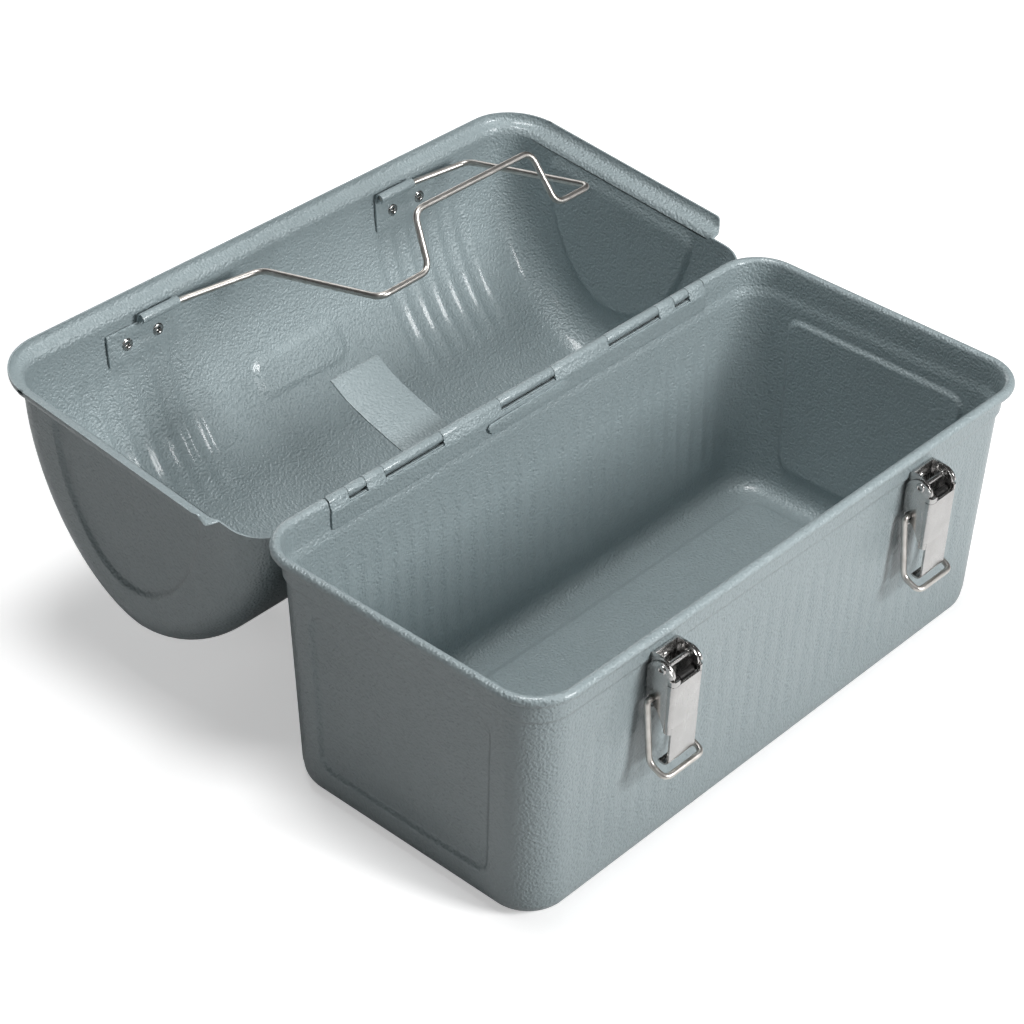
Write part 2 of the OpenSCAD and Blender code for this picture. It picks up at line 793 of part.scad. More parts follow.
module strap_rivets() {
    color(nickel)
        opened()
            for (x = strap_rivet_xs)
                translate([x, 0, strap_rivet_z]) {
                    y_cylinder(strap_foot_y - strap_t - 0.6, strap_foot_y - strap_t, 2.1);
                    y_cylinder(strap_foot_y - strap_t, strap_wall_y + 0.1, strap_rivet_r);
                    y_cylinder(strap_wall_y, strap_wall_y + 0.7, 2.1);
                }
}

clip_half = 19.6;
clip_h = 15.8;
clip_z = 128.4;
clip_y = -dome_front + 2.45;
// The clip's plate leans back by this angle to lie on the curved wall.
clip_lean = 8.5;
curl_len = 21.5;
curl_in_r = wire_r + 0.08;
curl_out_r = 2.4;
clip_rivet_xs = [-8.9, 8.9];
clip_rivet_up = 8;
clip_rivet_r = 1.5;
wire_y = clip_y + 1.9;
wire_z = 125.6;

// Places children with their origin on the lower edge of a clip's plate.
module on_clip(side) {
    translate([side * clip_x, clip_y, clip_z])
        rotate([-clip_lean, 0, 0])
            children();
}

// A plate on the lid's front wall whose lower edge is curled round the wire on one half.
module wire_clip(side) {
    curl_from = side * clip_x + (side < 0 ? clip_half - curl_len - 0.2 : 0.2 - clip_half);
    color(paint)
        opened()
            difference() {
                union() {
                    on_clip(side)
                        translate([-clip_half, -leaf_t, 0])
                            cube([2 * clip_half, leaf_t, clip_h]);
                    translate([curl_from, clip_y - leaf_t - 0.1, wire_z + 0.5])
                        cube([curl_len, leaf_t + 0.2, clip_z - wire_z]);
                    translate([0, wire_y, wire_z])
                        x_cylinder(curl_from, curl_from + curl_len, curl_out_r);
                }
                translate([0, wire_y, wire_z])
                    x_cylinder(curl_from - 1, curl_from + curl_len + 1, curl_in_r);
                on_clip(side)
                    for (x = clip_rivet_xs)
                        translate([x, 0, clip_rivet_up])
                            y_cylinder(-3, 3, clip_rivet_r);
            }
}

// Two tubular rivets hold each clip to the lid's front wall.
module clip_rivets(side) {
    // Outer face of the lid's wall, measured back from the clip's face
    wall_back = -2.3;
    color(nickel)
        opened()
            on_clip(side)
                for (x = clip_rivet_xs)
                    translate([x, 0, clip_rivet_up])
                        difference() {
                            union() {
                                y_cylinder(0, 0.7, 2.35);
                                y_cylinder(wall_back, 0.1, clip_rivet_r);
                                y_cylinder(wall_back - 0.7, wall_back + 0.1, 2.6);
                            }
                            y_cylinder(-0.8, 2, 0.95);
                        }
}

pin_left = [-82.5, -61];
pin_right = [60, 86];
// The wire between its two pins: along the lid, out from the pins' axis, lift off that plane
wire_path = [
    [pin_left[1] - 1.2, 0, 0], [-22.4, 11.4, 0], [-25.1, 91, 0], [5.7, 90, 0],
    [9.4, 83.6, 25.3], [83.4, 83.6, 25.3], [87.1, 91, 0], [110, 91, 0],
    [115.7, 7, 0], [pin_right[1] - 1.2, 0, 0]
];

module bottle_wire() {
    color(steel)
        opened()
            translate([0, wire_y, wire_z])
                rotate([-wire_angle, 0, 0]) {
                    x_cylinder(pin_left[0], pin_left[1], wire_r);
                    x_cylinder(pin_right[0], pin_right[1], wire_r);
                    tube(
                        rounded([for (p = wire_path) [p[0], p[1], -p[2]]], 5, 3),
                        wire_r, 12, [0, 0, 1]
                    );
                }
}

// ---------- handle ----------

handle_pivot_up = 8;
handle_pivot = [crown_y, crown_z + handle_pivot_up];
// Height of the open lid's handle pivot above the surface that the box stands on
pivot_floor = hinge_z + (handle_pivot[1] - hinge_z) * cos(lid_open)
    - (handle_pivot[0] - hinge_y) * sin(lid_open);
pivot_back = hinge_y + (handle_pivot[0] - hinge_y) * cos(lid_open)
    + (handle_pivot[1] - hinge_z) * sin(lid_open);
// Angle at which the lowered grip just clears the surface
handle_droop = asin((pivot_floor - grip_r - 0.2) / handle_reach);
bracket_t = 1.2;
bracket_half = 9;
handle_rivet_ys = [-6, 6];
handle_rivet_r = 1.6;

// A saddle on the crown with two cheeks that hold the handle's rod.
module handle_bracket(side) {
    base_z = crown_z + 0.05;
    color(nickel)
        opened()
            translate([side * handle_x, crown_y, 0])
                difference() {
                    union() {
                        translate([-8, -bracket_half, base_z])
                            cube([16, 2 * bracket_half, bracket_t]);
                        for (x = [-8, 8 - bracket_t])
                            translate([x, 0, 0])
                                side_plate(0, bracket_t, [
                                    [-bracket_half, base_z], [bracket_half, base_z],
                                    [bracket_half, base_z + 4], [4, handle_pivot[1] + 4.2],
                                    [-4, handle_pivot[1] + 4.2], [-bracket_half, base_z + 4]
                                ]);
                    }
                    translate([0, 0, handle_pivot[1]])
                        x_cylinder(-10, 10, handle_r + 0.08);
                    for (y = handle_rivet_ys)
                        translate([0, y, base_z - 1])
                            cylinder(h = 4, r = handle_rivet_r);
                }
}

module handle_rivets(side) {
    base_z = crown_z + 0.05 + bracket_t;
    color(nickel)
        opened()
            for (y = handle_rivet_ys)
                translate([side * handle_x, crown_y + y, 0]) {
                    translate([0, 0, base_z])
                        cylinder(h = 0.8, r = 3);
                    translate([0, 0, crown_z - sheet - 0.4])
                        cylinder(h = base_z - crown_z + sheet + 0.5, r = handle_rivet_r);
                    translate([0, 0, crown_z - sheet - 1.1])
                        cylinder(h = 0.9, r = 3);
                }
}

module handle_place() {
    translate([0, pivot_back, pivot_floor])
        rotate([-handle_droop, 0, 0])
            children();
}

handle_end = handle_x + 22;

module handle_rod() {
    side_line = [[handle_x + 9.5, 0, 0], [handle_end, 0, 0], [handle_end, handle_reach, 0]];
    color(nickel)
        handle_place() {
            tube(
                rounded(concat([for (p = side_line) [-p[0], p[1], p[2]]], reversed(side_line)), 6, 4),
                handle_r, 16, [0, 0, 1]
            );
            for (side = [-1, 1])
                scale_side(side)
                    x_cylinder(handle_x - 9.5, handle_x + 10, handle_r + 0.02);
        }
}

module handle_grip() {
    grip_half = 42;
    color(grip_black)
        handle_place()
            translate([0, handle_reach, 0])
                difference() {
                    x_cylinder(-grip_half, grip_half, grip_r);
                    x_cylinder(-grip_half - 1, grip_half + 1, handle_r);
                }
}

// ---------- nodes ----------

base_tub();
base_hinge_leaf();
hinge_pin();
latch_bracket(-latch_x);  // latch_bracket_left
latch_bracket(latch_x);  // latch_bracket_right
latch_bracket_rivets(-latch_x);  // latch_bracket_rivets_left
latch_bracket_rivets(latch_x);  // latch_bracket_rivets_right
latch_lever(-latch_x);  // latch_lever_left
latch_lever(latch_x);  // latch_lever_right
latch_pivot_pin(-latch_x);  // latch_pivot_pin_left
latch_pivot_pin(latch_x);  // latch_pivot_pin_right
latch_spring_axle(-latch_x);  // latch_spring_axle_left
latch_spring_axle(latch_x);  // latch_spring_axle_right
latch_spring_bush(-latch_x);  // latch_spring_bush_left
latch_spring_bush(latch_x);  // latch_spring_bush_right
latch_spring(-latch_x);  // latch_spring_left
latch_spring(latch_x);  // latch_spring_right
latch_bail(-latch_x);  // latch_bail_left
latch_bail(latch_x);  // latch_bail_right
lid_shell();
lid_hinge_leaf();
bottle_strap();
strap_rivets();
wire_clip(-1);  // wire_clip_left
wire_clip(1);  // wire_clip_right
clip_rivets(-1);  // clip_rivets_left
clip_rivets(1);  // clip_rivets_right
bottle_wire();
handle_bracket(-1);  // handle_bracket_left
handle_bracket(1);  // handle_bracket_right
handle_rivets(-1);  // handle_rivets_left
handle_rivets(1);  // handle_rivets_right
handle_rod();
handle_grip();
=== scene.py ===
"""Domed sheet steel box with an open lid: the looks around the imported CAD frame.

Shapes are worked out in millimetres in the frame's axes and turned to metres when a mesh is made.
The lid's parts are worked out for the closed lid and then turned open about the hinge.
"""
import json
import math

import bmesh
import bpy
import numpy as np
from mathutils import Matrix, Vector
from mathutils.geometry import tessellate_polygon


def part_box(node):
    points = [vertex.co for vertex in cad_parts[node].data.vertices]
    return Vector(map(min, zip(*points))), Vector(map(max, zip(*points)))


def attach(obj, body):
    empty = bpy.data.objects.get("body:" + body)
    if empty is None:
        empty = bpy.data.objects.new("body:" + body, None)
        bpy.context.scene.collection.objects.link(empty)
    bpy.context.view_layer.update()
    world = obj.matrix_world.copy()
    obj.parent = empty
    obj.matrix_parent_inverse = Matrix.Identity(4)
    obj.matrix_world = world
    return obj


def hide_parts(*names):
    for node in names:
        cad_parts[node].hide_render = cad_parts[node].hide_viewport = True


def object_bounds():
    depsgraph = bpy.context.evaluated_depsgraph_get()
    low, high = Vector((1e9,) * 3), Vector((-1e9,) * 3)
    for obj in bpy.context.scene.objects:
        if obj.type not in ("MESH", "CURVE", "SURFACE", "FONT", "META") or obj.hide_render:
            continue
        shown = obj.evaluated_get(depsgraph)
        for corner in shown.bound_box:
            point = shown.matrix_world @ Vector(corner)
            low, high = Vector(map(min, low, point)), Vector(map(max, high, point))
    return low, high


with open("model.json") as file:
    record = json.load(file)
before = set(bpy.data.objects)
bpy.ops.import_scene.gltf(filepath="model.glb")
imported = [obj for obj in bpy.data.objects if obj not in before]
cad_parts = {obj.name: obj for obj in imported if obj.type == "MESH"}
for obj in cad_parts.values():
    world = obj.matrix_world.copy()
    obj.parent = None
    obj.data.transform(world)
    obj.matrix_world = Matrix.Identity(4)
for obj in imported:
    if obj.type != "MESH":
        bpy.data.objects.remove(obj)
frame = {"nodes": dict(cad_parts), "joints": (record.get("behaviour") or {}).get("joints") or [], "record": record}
cad_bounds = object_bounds()

MM = 0.001
JOINTS = {j["name"]: j for j in frame["joints"]}
HINGE = np.array(JOINTS["lid_hinge"]["pos_m"], float) / MM
LID_OPEN = math.radians(JOINTS["lid_hinge"]["range_deg"][1])

# ---------- maths helpers ----------


def smooth(lo, hi, v):
    """0 below lo, 1 above hi, and an S-curve between them."""
    k = np.clip((np.asarray(v, float) - lo) / (hi - lo), 0, 1)
    return k * k * (3 - 2 * k)


def lerp(a, b, k):
    """Value a share k of the way from a to b."""
    return a + (b - a) * k


def turn_x(points, angle, centre):
    """Points turned about an axis along X through centre."""
    p = np.array(points, float).reshape(-1, 3)
    c, s = math.cos(angle), math.sin(angle)
    y, z = p[:, 1] - centre[1], p[:, 2] - centre[2]
    return np.stack([p[:, 0], centre[1] + c * y - s * z, centre[2] + s * y + c * z], 1)


def opened(points):
    """Turns points of the closed lid to the lid's open place."""
    return turn_x(points, -LID_OPEN, HINGE)


def rounded_box_distance(u, v, half_u, half_v, r):
    """Signed distance to a rectangle with rounded corners, negative inside."""
    qu, qv = np.abs(u) - (half_u - r), np.abs(v) - (half_v - r)
    outside = np.hypot(np.maximum(qu, 0), np.maximum(qv, 0))
    return outside + np.minimum(np.maximum(qu, qv), 0) - r


def steps(*runs):
    """Sorted values from (start, stop, step) runs, ends included, without repeats."""
    values = [v for lo, hi, step in runs for v in np.linspace(lo, hi, max(2, round((hi - lo) / step) + 1))]
    return np.array(sorted(set(np.round(values, 4))))


# ---------- mesh helpers ----------


def add_mesh(name, points, faces, body, material, replaced=(), weld=0.0, sharp=None, bevel=0.0):
    """Makes one object from points in mm and rides it on a CAD body."""
    mesh = bpy.data.meshes.new(name)
    mesh.from_pydata((np.asarray(points, float) * MM).tolist(), [], faces)
    bm = bmesh.new()
    bm.from_mesh(mesh)
    if weld:
        bmesh.ops.remove_doubles(bm, verts=bm.verts, dist=weld * MM)
    bmesh.ops.recalc_face_normals(bm, faces=bm.faces)
    if bevel:
        folds = [e for e in bm.edges if len(e.link_faces) == 2 and e.calc_face_angle(0) > math.radians(38)]
        bmesh.ops.bevel(bm, geom=folds, offset=bevel * MM, segments=2, profile=0.5, affect="EDGES",
                        clamp_overlap=True)
    for f in bm.faces:
        f.smooth = True
    if sharp is not None:
        for e in bm.edges:
            if len(e.link_faces) == 2 and e.calc_face_angle(0) > math.radians(sharp):
                e.smooth = False
    bm.to_mesh(mesh)
    bm.free()
    mesh.validate()
    obj = bpy.data.objects.new(name, mesh)
    bpy.context.scene.collection.objects.link(obj)
    mesh.materials.append(material)
    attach(obj, body)
    if replaced:
        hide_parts(*replaced)
    return obj


def ring_quads(n, rings):
    """Faces between rings of n points each, each ring a closed loop."""
    return [
        (k * n + i, k * n + (i + 1) % n, (k + 1) * n + (i + 1) % n, (k + 1) * n + i)
        for k in range(rings - 1)
        for i in range(n)
    ]


class Parts:
    """Points and faces of several closed solids that make one object."""

    def __init__(self):
        self.points, self.faces = [], []

    def add(self, solid, place=None):
        points, faces = solid
        base = len(self.points)
        self.points += [place(*p) if place else tuple(p) for p in points]
        self.faces += [tuple(base + i for i in f) for f in faces]
        return self


def plate(loops, low, high):
    """A flat plate between two depths w. Its outline and its holes are loops of (u, v)."""
    triangles = tessellate_polygon([[Vector((u, v, 0)) for u, v in loop] for loop in loops])
    uv = [p for loop in loops for p in loop]
    n = len(uv)
    points = [(u, v, low) for u, v in uv] + [(u, v, high) for u, v in uv]
    faces = [tuple(t) for t in triangles] + [tuple(i + n for i in t[::-1]) for t in triangles]
    start = 0
    for loop in loops:
        m = len(loop)
        faces += [(start + i, start + (i + 1) % m, start + (i + 1) % m + n, start + i + n) for i in range(m)]
        start += m
    return points, faces


def stack(sections):
    """A solid through a row of closed sections of equal point counts, with flat ends."""
    n = len(sections[0])
    points = [tuple(p) for section in sections for p in section]
    faces = ring_quads(n, len(sections))
    faces += [tuple(range(n))[::-1], tuple(range(len(points) - n, len(points)))]
    return points, faces


def strip_outline(line, t):
    """Closed outline of a strip of thickness t whose middle follows a line of (u, v)."""
    p = np.array(line, float)
    d = np.gradient(p, axis=0)
    d /= np.linalg.norm(d, axis=1)[:, None]
    left = np.stack([-d[:, 1], d[:, 0]], 1) * t / 2
    return [tuple(v) for v in np.concatenate([p + left, (p - left)[::-1]])]


def arc(cu, cv, r, start, stop, count):
    """Points of an arc from start to stop, in degrees."""
    angles = np.radians(np.linspace(start, stop, count))
    return [(cu + r * math.cos(a), cv + r * math.sin(a)) for a in angles]


def revolve(profile, sides=32):
    """A closed surface about the X axis through a profile of (x, r) from axis to axis."""
    angles = np.linspace(0, 2 * math.pi, sides, endpoint=False)
    return stack([[(x, r * math.cos(a), r * math.sin(a)) for a in angles] for x, r in profile])


def round_corners(path, reach, count=7):
    """A path with each inner corner turned into a smooth bend that starts reach before it."""
    pts = [np.array(p, float) for p in path]
    out = [pts[0]]
    for a, p, b in zip(pts, pts[1:], pts[2:]):
        t = min(reach, 0.48 * np.linalg.norm(a - p), 0.48 * np.linalg.norm(b - p))
        s, e = p + t * (a - p) / np.linalg.norm(a - p), p + t * (b - p) / np.linalg.norm(b - p)
        out += [(1 - k) ** 2 * s + 2 * k * (1 - k) * p + k * k * e for k in np.linspace(0, 1, count)]
    return out + [pts[-1]]


def tube(path, r, sides=20):
    """A round wire along a path, with softly rounded ends."""
    crown = 0.25
    p = np.array(path, float)
    d = np.gradient(p, axis=0)
    d /= np.linalg.norm(d, axis=1)[:, None]
    side = np.cross(d[0], (0.31, 0.42, 0.85))
    angles = np.linspace(0, 2 * math.pi, sides, endpoint=False)
    rings = []
    last = len(p) - 1
    for i in range(len(p)):
        side = side - d[i] * np.dot(side, d[i])
        side /= np.linalg.norm(side)
        up = np.cross(d[i], side)
        ring = [math.cos(a) * side + math.sin(a) * up for a in angles]
        if i == 0:
            rings.append([p[i] + q * r * (1 - crown) for q in ring])
            rings.append([p[i] + d[i] * r * crown + q * r for q in ring])
        elif i == last:
            rings.append([p[i] - d[i] * r * crown + q * r for q in ring])
            rings.append([p[i] + q * r * (1 - crown) for q in ring])
        else:
            rings.append([p[i] + q * r for q in ring])
    return stack(rings)


# ---------- materials ----------


class Nodes:
    """Short calls for building one node material."""

    def __init__(self, name):
        self.material = bpy.data.materials.new(name)
        self.material.use_nodes = True
        self.tree = self.material.node_tree
        self.shader = self.tree.nodes["Principled BSDF"]
        self.place = self.tree.nodes.new("ShaderNodeTexCoord").outputs["Object"]

    def node(self, kind, **values):
        made = self.tree.nodes.new("ShaderNode" + kind)
        for key, value in values.items():
            if key in made.inputs:
                self.set(made.inputs[key], value)
            else:
                setattr(made, key, value)
        return made

    def set(self, socket, value):
        if isinstance(value, bpy.types.NodeSocket):
            self.tree.links.new(value, socket)
        else:
            socket.default_value = value

    def noise(self, size_mm, detail=2.0, roughness=0.5, place=None):
        made = self.node("TexNoise")
        self.set(made.inputs["Vector"], place or self.place)
        self.set(made.inputs["Scale"], 1 / (size_mm * MM))
        self.set(made.inputs["Detail"], detail)
        self.set(made.inputs["Roughness"], roughness)
        return made.outputs["Fac"]

    def cells(self, size_mm, smoothness):
        made = self.node("TexVoronoi", feature="SMOOTH_F1")
        self.set(made.inputs["Vector"], self.place)
        self.set(made.inputs["Scale"], 1 / (size_mm * MM))
        self.set(made.inputs["Smoothness"], smoothness)
        return made.outputs["Distance"]

    def spread(self, value, lo, hi, to_lo, to_hi):
        made = self.node("MapRange")
        self.set(made.inputs["Value"], value)
        for key, number in (("From Min", lo), ("From Max", hi), ("To Min", to_lo), ("To Max", to_hi)):
            self.set(made.inputs[key], number)
        return made.outputs["Result"]

    def sums(self, a, b, operation="ADD"):
        made = self.node("Math", operation=operation)
        self.set(made.inputs[0], a)
        self.set(made.inputs[1], b)
        return made.outputs[0]

    def colours(self, fac, dark, light):
        made = self.node("MixRGB", blend_type="MIX")
        self.set(made.inputs["Fac"], fac)
        self.set(made.inputs["Color1"], (*dark, 1))
        self.set(made.inputs["Color2"], (*light, 1))
        return made.outputs["Color"]

    def bump(self, height, depth_mm):
        made = self.node("Bump")
        self.set(made.inputs["Height"], height)
        self.set(made.inputs["Distance"], depth_mm * MM)
        self.set(made.inputs["Strength"], 1.0)
        return made.outputs["Normal"]

    def finish(self, **sockets):
        for key, value in sockets.items():
            self.set(self.shader.inputs[key.replace("_", " ")], value)
        return self.material


def hammertone():
    """Pale blue-grey paint with the cells and fine sparkle of a hammered finish."""
    m = Nodes("hammertone_paint")
    cells = m.cells(1.5, 0.45)
    peel = m.noise(0.95, 2.0)
    cloud = m.noise(30, 2.0)
    mottle = m.sums(m.spread(peel, 0.35, 0.65, 0, 0.5), m.spread(cells, 0.1, 0.6, 0, 0.5))
    tone = m.sums(mottle, m.spread(cloud, 0.3, 0.7, -0.15, 0.15))
    colour = m.colours(tone, (0.285, 0.345, 0.361), (0.332, 0.395, 0.411))
    rough = m.spread(peel, 0.3, 0.7, 0.36, 0.46)
    height = m.sums(m.spread(cells, 0.05, 0.65, 0, 1), m.spread(peel, 0.3, 0.7, 0, 0.8))
    return m.finish(
        Base_Color=colour, Roughness=rough, Metallic=0.1, Coat_Weight=0.38, Coat_Roughness=0.13,
        Normal=m.bump(height, 0.22),
    )


def plated(name, dark, light, rough, scratch):
    """Bright plating with faint patches and rolling marks."""
    m = Nodes(name)
    patches = m.noise(9, 3.0, 0.6)
    stretch = m.node("Mapping")
    m.set(stretch.inputs["Vector"], m.place)
    m.set(stretch.inputs["Scale"], (1.0, 1.0, 0.06))
    marks = m.noise(0.5, 2.0, 0.6, stretch.outputs["Vector"])
    colour = m.colours(m.spread(patches, 0.3, 0.7, 0, 1), dark, light)
    uneven = m.spread(patches, 0.3, 0.7, rough * 0.8, rough * 1.2)
    roughness = m.sums(uneven, m.spread(marks, 0.3, 0.7, -0.04, 0.04))
    return m.finish(Base_Color=colour, Metallic=1.0, Roughness=roughness, Normal=m.bump(marks, scratch))


def brushed_wire():
    """Drawn stainless wire: warm grey with short scratches."""
    m = Nodes("stainless_wire")
    fine = m.noise(0.35, 3.0, 0.7)
    patches = m.noise(5, 2.0)
    colour = m.colours(m.spread(patches, 0.3, 0.7, 0, 1), (0.5, 0.478, 0.448), (0.63, 0.61, 0.58))
    rough = m.spread(fine, 0.3, 0.7, 0.34, 0.44)
    return m.finish(Base_Color=colour, Metallic=1.0, Roughness=rough, Normal=m.bump(fine, 0.002))


def black_oxide():
    """Blackened spring steel with a little oil sheen."""
    m = Nodes("black_oxide")
    fine = m.noise(0.8, 3.0)
    colour = m.colours(m.spread(fine, 0.3, 0.7, 0, 1), (0.012, 0.012, 0.013), (0.045, 0.044, 0.042))
    return m.finish(Base_Color=colour, Metallic=0.6, Roughness=m.spread(fine, 0.3, 0.7, 0.3, 0.5))


def moulded_grip():
    """Matte black moulded grip with a fine grain."""
    m = Nodes("moulded_grip")
    grain = m.cells(0.7, 0.3)
    cloud = m.noise(12, 2.0)
    colour = m.colours(m.spread(cloud, 0.3, 0.7, 0, 1), (0.012, 0.012, 0.013), (0.026, 0.026, 0.028))
    rough = m.spread(grain, 0.1, 0.6, 0.55, 0.42)
    return m.finish(Base_Color=colour, Roughness=rough, Normal=m.bump(grain, 0.05))


FLOOR_BOUNCE, FLOOR_GLOW = 0.17, 0.42


def pale_floor():
    """White floor that throws back less light than it shows, and glows a little for the camera."""
    m = Nodes("pale_floor")
    cloud = m.noise(400, 2.0)
    shown = m.colours(m.spread(cloud, 0.3, 0.7, 0, 1), (0.93, 0.93, 0.93), (0.95, 0.95, 0.95))
    bounce = m.node("LightPath").outputs["Is Diffuse Ray"]
    made = m.node("MixRGB", blend_type="MIX")
    m.set(made.inputs["Fac"], bounce)
    m.set(made.inputs["Color1"], shown)
    m.set(made.inputs["Color2"], (FLOOR_BOUNCE, FLOOR_BOUNCE, FLOOR_BOUNCE, 1))
    seen = m.node("LightPath").outputs["Is Camera Ray"]
    return m.finish(Base_Color=made.outputs["Color"], Roughness=0.8, Emission_Color=(1, 1, 1, 1),
                    Emission_Strength=m.sums(seen, FLOOR_GLOW, "MULTIPLY"))


PAINT = hammertone()
NICKEL = plated("polished_nickel", (0.46, 0.452, 0.444), (0.54, 0.532, 0.524), 0.24, 0.002)
WIRE = brushed_wire()
OXIDE = black_oxide()
GRIP = moulded_grip()
FINISH = {"paint": PAINT, "nickel": NICKEL, "wire": WIRE, "spring_steel": OXIDE, "grip": GRIP}

# ---------- base tub ----------

RIM_L, RIM_W, BASE_H = 318.0, 155.4, 120.5
RIM_R, BEAD_R = 22.0, 2.3
SHEET = 0.8
RIM_INSET, DRAFT, STEP_D, STEP_Z = 4.06, 3.6, 0.95, 105.4
FILLET, FLOOR_R = 8.6, 19.5
HINGE_HALF, HINGE_EDGE_Z = 117.6, 115.6
RIB_PITCH, RIB_REACH = 9.5, 123.5
FRONT_RIB_DEPTH, REAR_RIB_DEPTH = 0.4, 1.05
FLOOR_RISE, END_PANEL_DEPTH = 1.5, 1.6


class Loop:
    """Stops on the way round a rounded rectangle: four corners and four straights."""

    def __init__(self, long_xs, rear_extra, end_ys, corner_steps):
        kinds = []
        corner = np.linspace(0, 90, corner_steps + 1)
        rear = sorted(set(long_xs) | set(rear_extra), reverse=True)
        for sx, sy, start in ((1, 1, 0), (-1, 1, 90), (-1, -1, 180), (1, -1, 270)):
            kinds += [(sx, sy, start + a, 0.0, 0) for a in corner]
            if (sx, sy) == (1, 1):
                kinds += [(0, 1, 90.0, x, 1) for x in rear]
            elif (sx, sy) == (-1, 1):
                kinds += [(-1, 0, 180.0, y, 2) for y in end_ys[::-1]]
            elif (sx, sy) == (-1, -1):
                kinds += [(0, -1, 270.0, x, 1) for x in long_xs]
            else:
                kinds += [(1, 0, 0.0, y, 2) for y in end_ys]
        table = np.array(kinds, float)
        self.sx, self.sy, self.at = table[:, 0], table[:, 1], table[:, 3]
        self.angle = np.radians(table[:, 2])
        self.corner, self.long, self.end = (table[:, 4] == k for k in range(3))
        self.x_reach = max(abs(v) for v in long_xs)
        self.y_reach = max(abs(v) for v in end_ys)
        self.n = len(table)

    def ring(self, hx, hy, r):
        """X and Y of every stop on a rounded rectangle of half sizes hx and hy."""
        long_x = self.at * min(1.0, (hx - r) / self.x_reach)
        end_y = self.at * min(1.0, (hy - r) / self.y_reach)
        x = np.where(self.corner, self.sx * (hx - r) + r * np.cos(self.angle),
                     np.where(self.long, long_x, self.sx * hx))
        y = np.where(self.corner, self.sy * (hy - r) + r * np.sin(self.angle),
                     np.where(self.long, self.sy * hy, end_y))
        return x, y


def wall_inset(z, spread=0.0):
    """Inset of the wall at a height. Spread softens the step, as the sheet does on its inner side."""
    above_step = smooth(STEP_Z - 1.5 - spread, STEP_Z + 0.9 + spread, z)
    return RIM_INSET + DRAFT * (1 - z / BASE_H) + STEP_D * (1 - above_step)


def wall_corner(z):
    return lerp(FLOOR_R, RIM_R - RIM_INSET, z / BASE_H)


def wall_ribs(x, z):
    """Outward relief of the upright ribs in the long walls: broad lobes, narrow grooves."""
    wave = np.sqrt(np.cos(math.pi * x / RIB_PITCH) ** 2 + 0.05) - 0.62
    across = 1 - smooth(RIB_REACH + 1, RIB_REACH + 6, np.abs(x))
    along = smooth(15, 25, z) * (1 - smooth(82, 95, z))
    return wave * across * along


def end_panel(y, z):
    """Inward relief of the pressed panel in each end wall."""
    half = 46 + 2.5 * (z - 16.5) / 80.5
    d = rounded_box_distance((y - 0.5) * 47.25 / half, z - 56.75, 47.25, 40.25, 7)
    return END_PANEL_DEPTH * (1 - smooth(-1.7, 1.0, d))


def wall_ring(loop, z, extra):
    """A ring of the wall at height z, inset by extra from the wall's outer face."""
    inset = wall_inset(z, 2.2 if extra else 0.0) + extra
    x, y = loop.ring(RIM_L / 2 - inset, RIM_W / 2 - inset, wall_corner(z) - extra)
    depth = np.where(loop.sy > 0, REAR_RIB_DEPTH, -FRONT_RIB_DEPTH)
    y = y + np.where(loop.long, depth * wall_ribs(x, z), 0)
    x = x - np.where(loop.end, loop.sx * end_panel(y, z), 0)
    return np.stack([x, y, np.full(loop.n, z)], 1)


def floor_rings(loop, lift):
    """Rings of the floor from its raised middle panel out to the fillet."""
    hx, hy = RIM_L / 2 - wall_inset(0) - FILLET, RIM_W / 2 - wall_inset(0) - FILLET
    rings = []
    for k in np.linspace(0, 1, 7):
        x, y = loop.ring(lerp(134.8, 138.8, k), lerp(48.8, 52.8, k), lerp(7, 10, k))
        rings.append(np.stack([x, y, np.full(loop.n, lift + FLOOR_RISE * (1 - smooth(0, 1, k)))], 1))
    x, y = loop.ring(hx, hy, FLOOR_R - FILLET)
    rings.append(np.stack([x, y, np.full(loop.n, lift)], 1))
    return rings


def fillet_rings(loop, r, thick):
    """Rings of the bend from the wall into the floor."""
    rings = []
    for a in np.radians(np.linspace(7.5, 90, 12)):
        inset = wall_inset(0) + FILLET - r * math.sin(a)
        x, y = loop.ring(RIM_L / 2 - inset, RIM_W / 2 - inset, FLOOR_R - FILLET + r * math.sin(a))
        rings.append(np.stack([x, y, np.full(loop.n, thick + r * (1 - math.cos(a)))], 1))
    return rings


def rim_rings(loop):
    """The rolled rim. Along the hinge it is a plain edge instead."""
    in_hinge = loop.long & (loop.sy > 0) & (np.abs(loop.at) < HINGE_HALF + 0.3)
    count = 26
    start = -math.acos(-(RIM_INSET - BEAD_R) / BEAD_R)
    rings = []
    for j, a in enumerate(np.linspace(start, math.pi, count)):
        inset = BEAD_R - BEAD_R * math.cos(a)
        x, y = loop.ring(RIM_L / 2 - inset, RIM_W / 2 - inset, RIM_R - inset)
        z = np.full(loop.n, BASE_H - BEAD_R + BEAD_R * math.sin(a))
        edge = RIM_W / 2 - RIM_INSET - SHEET * j / (count - 1)
        rings.append(np.stack([x, np.where(in_hinge, edge, y), np.where(in_hinge, HINGE_EDGE_Z, z)], 1))
    return rings


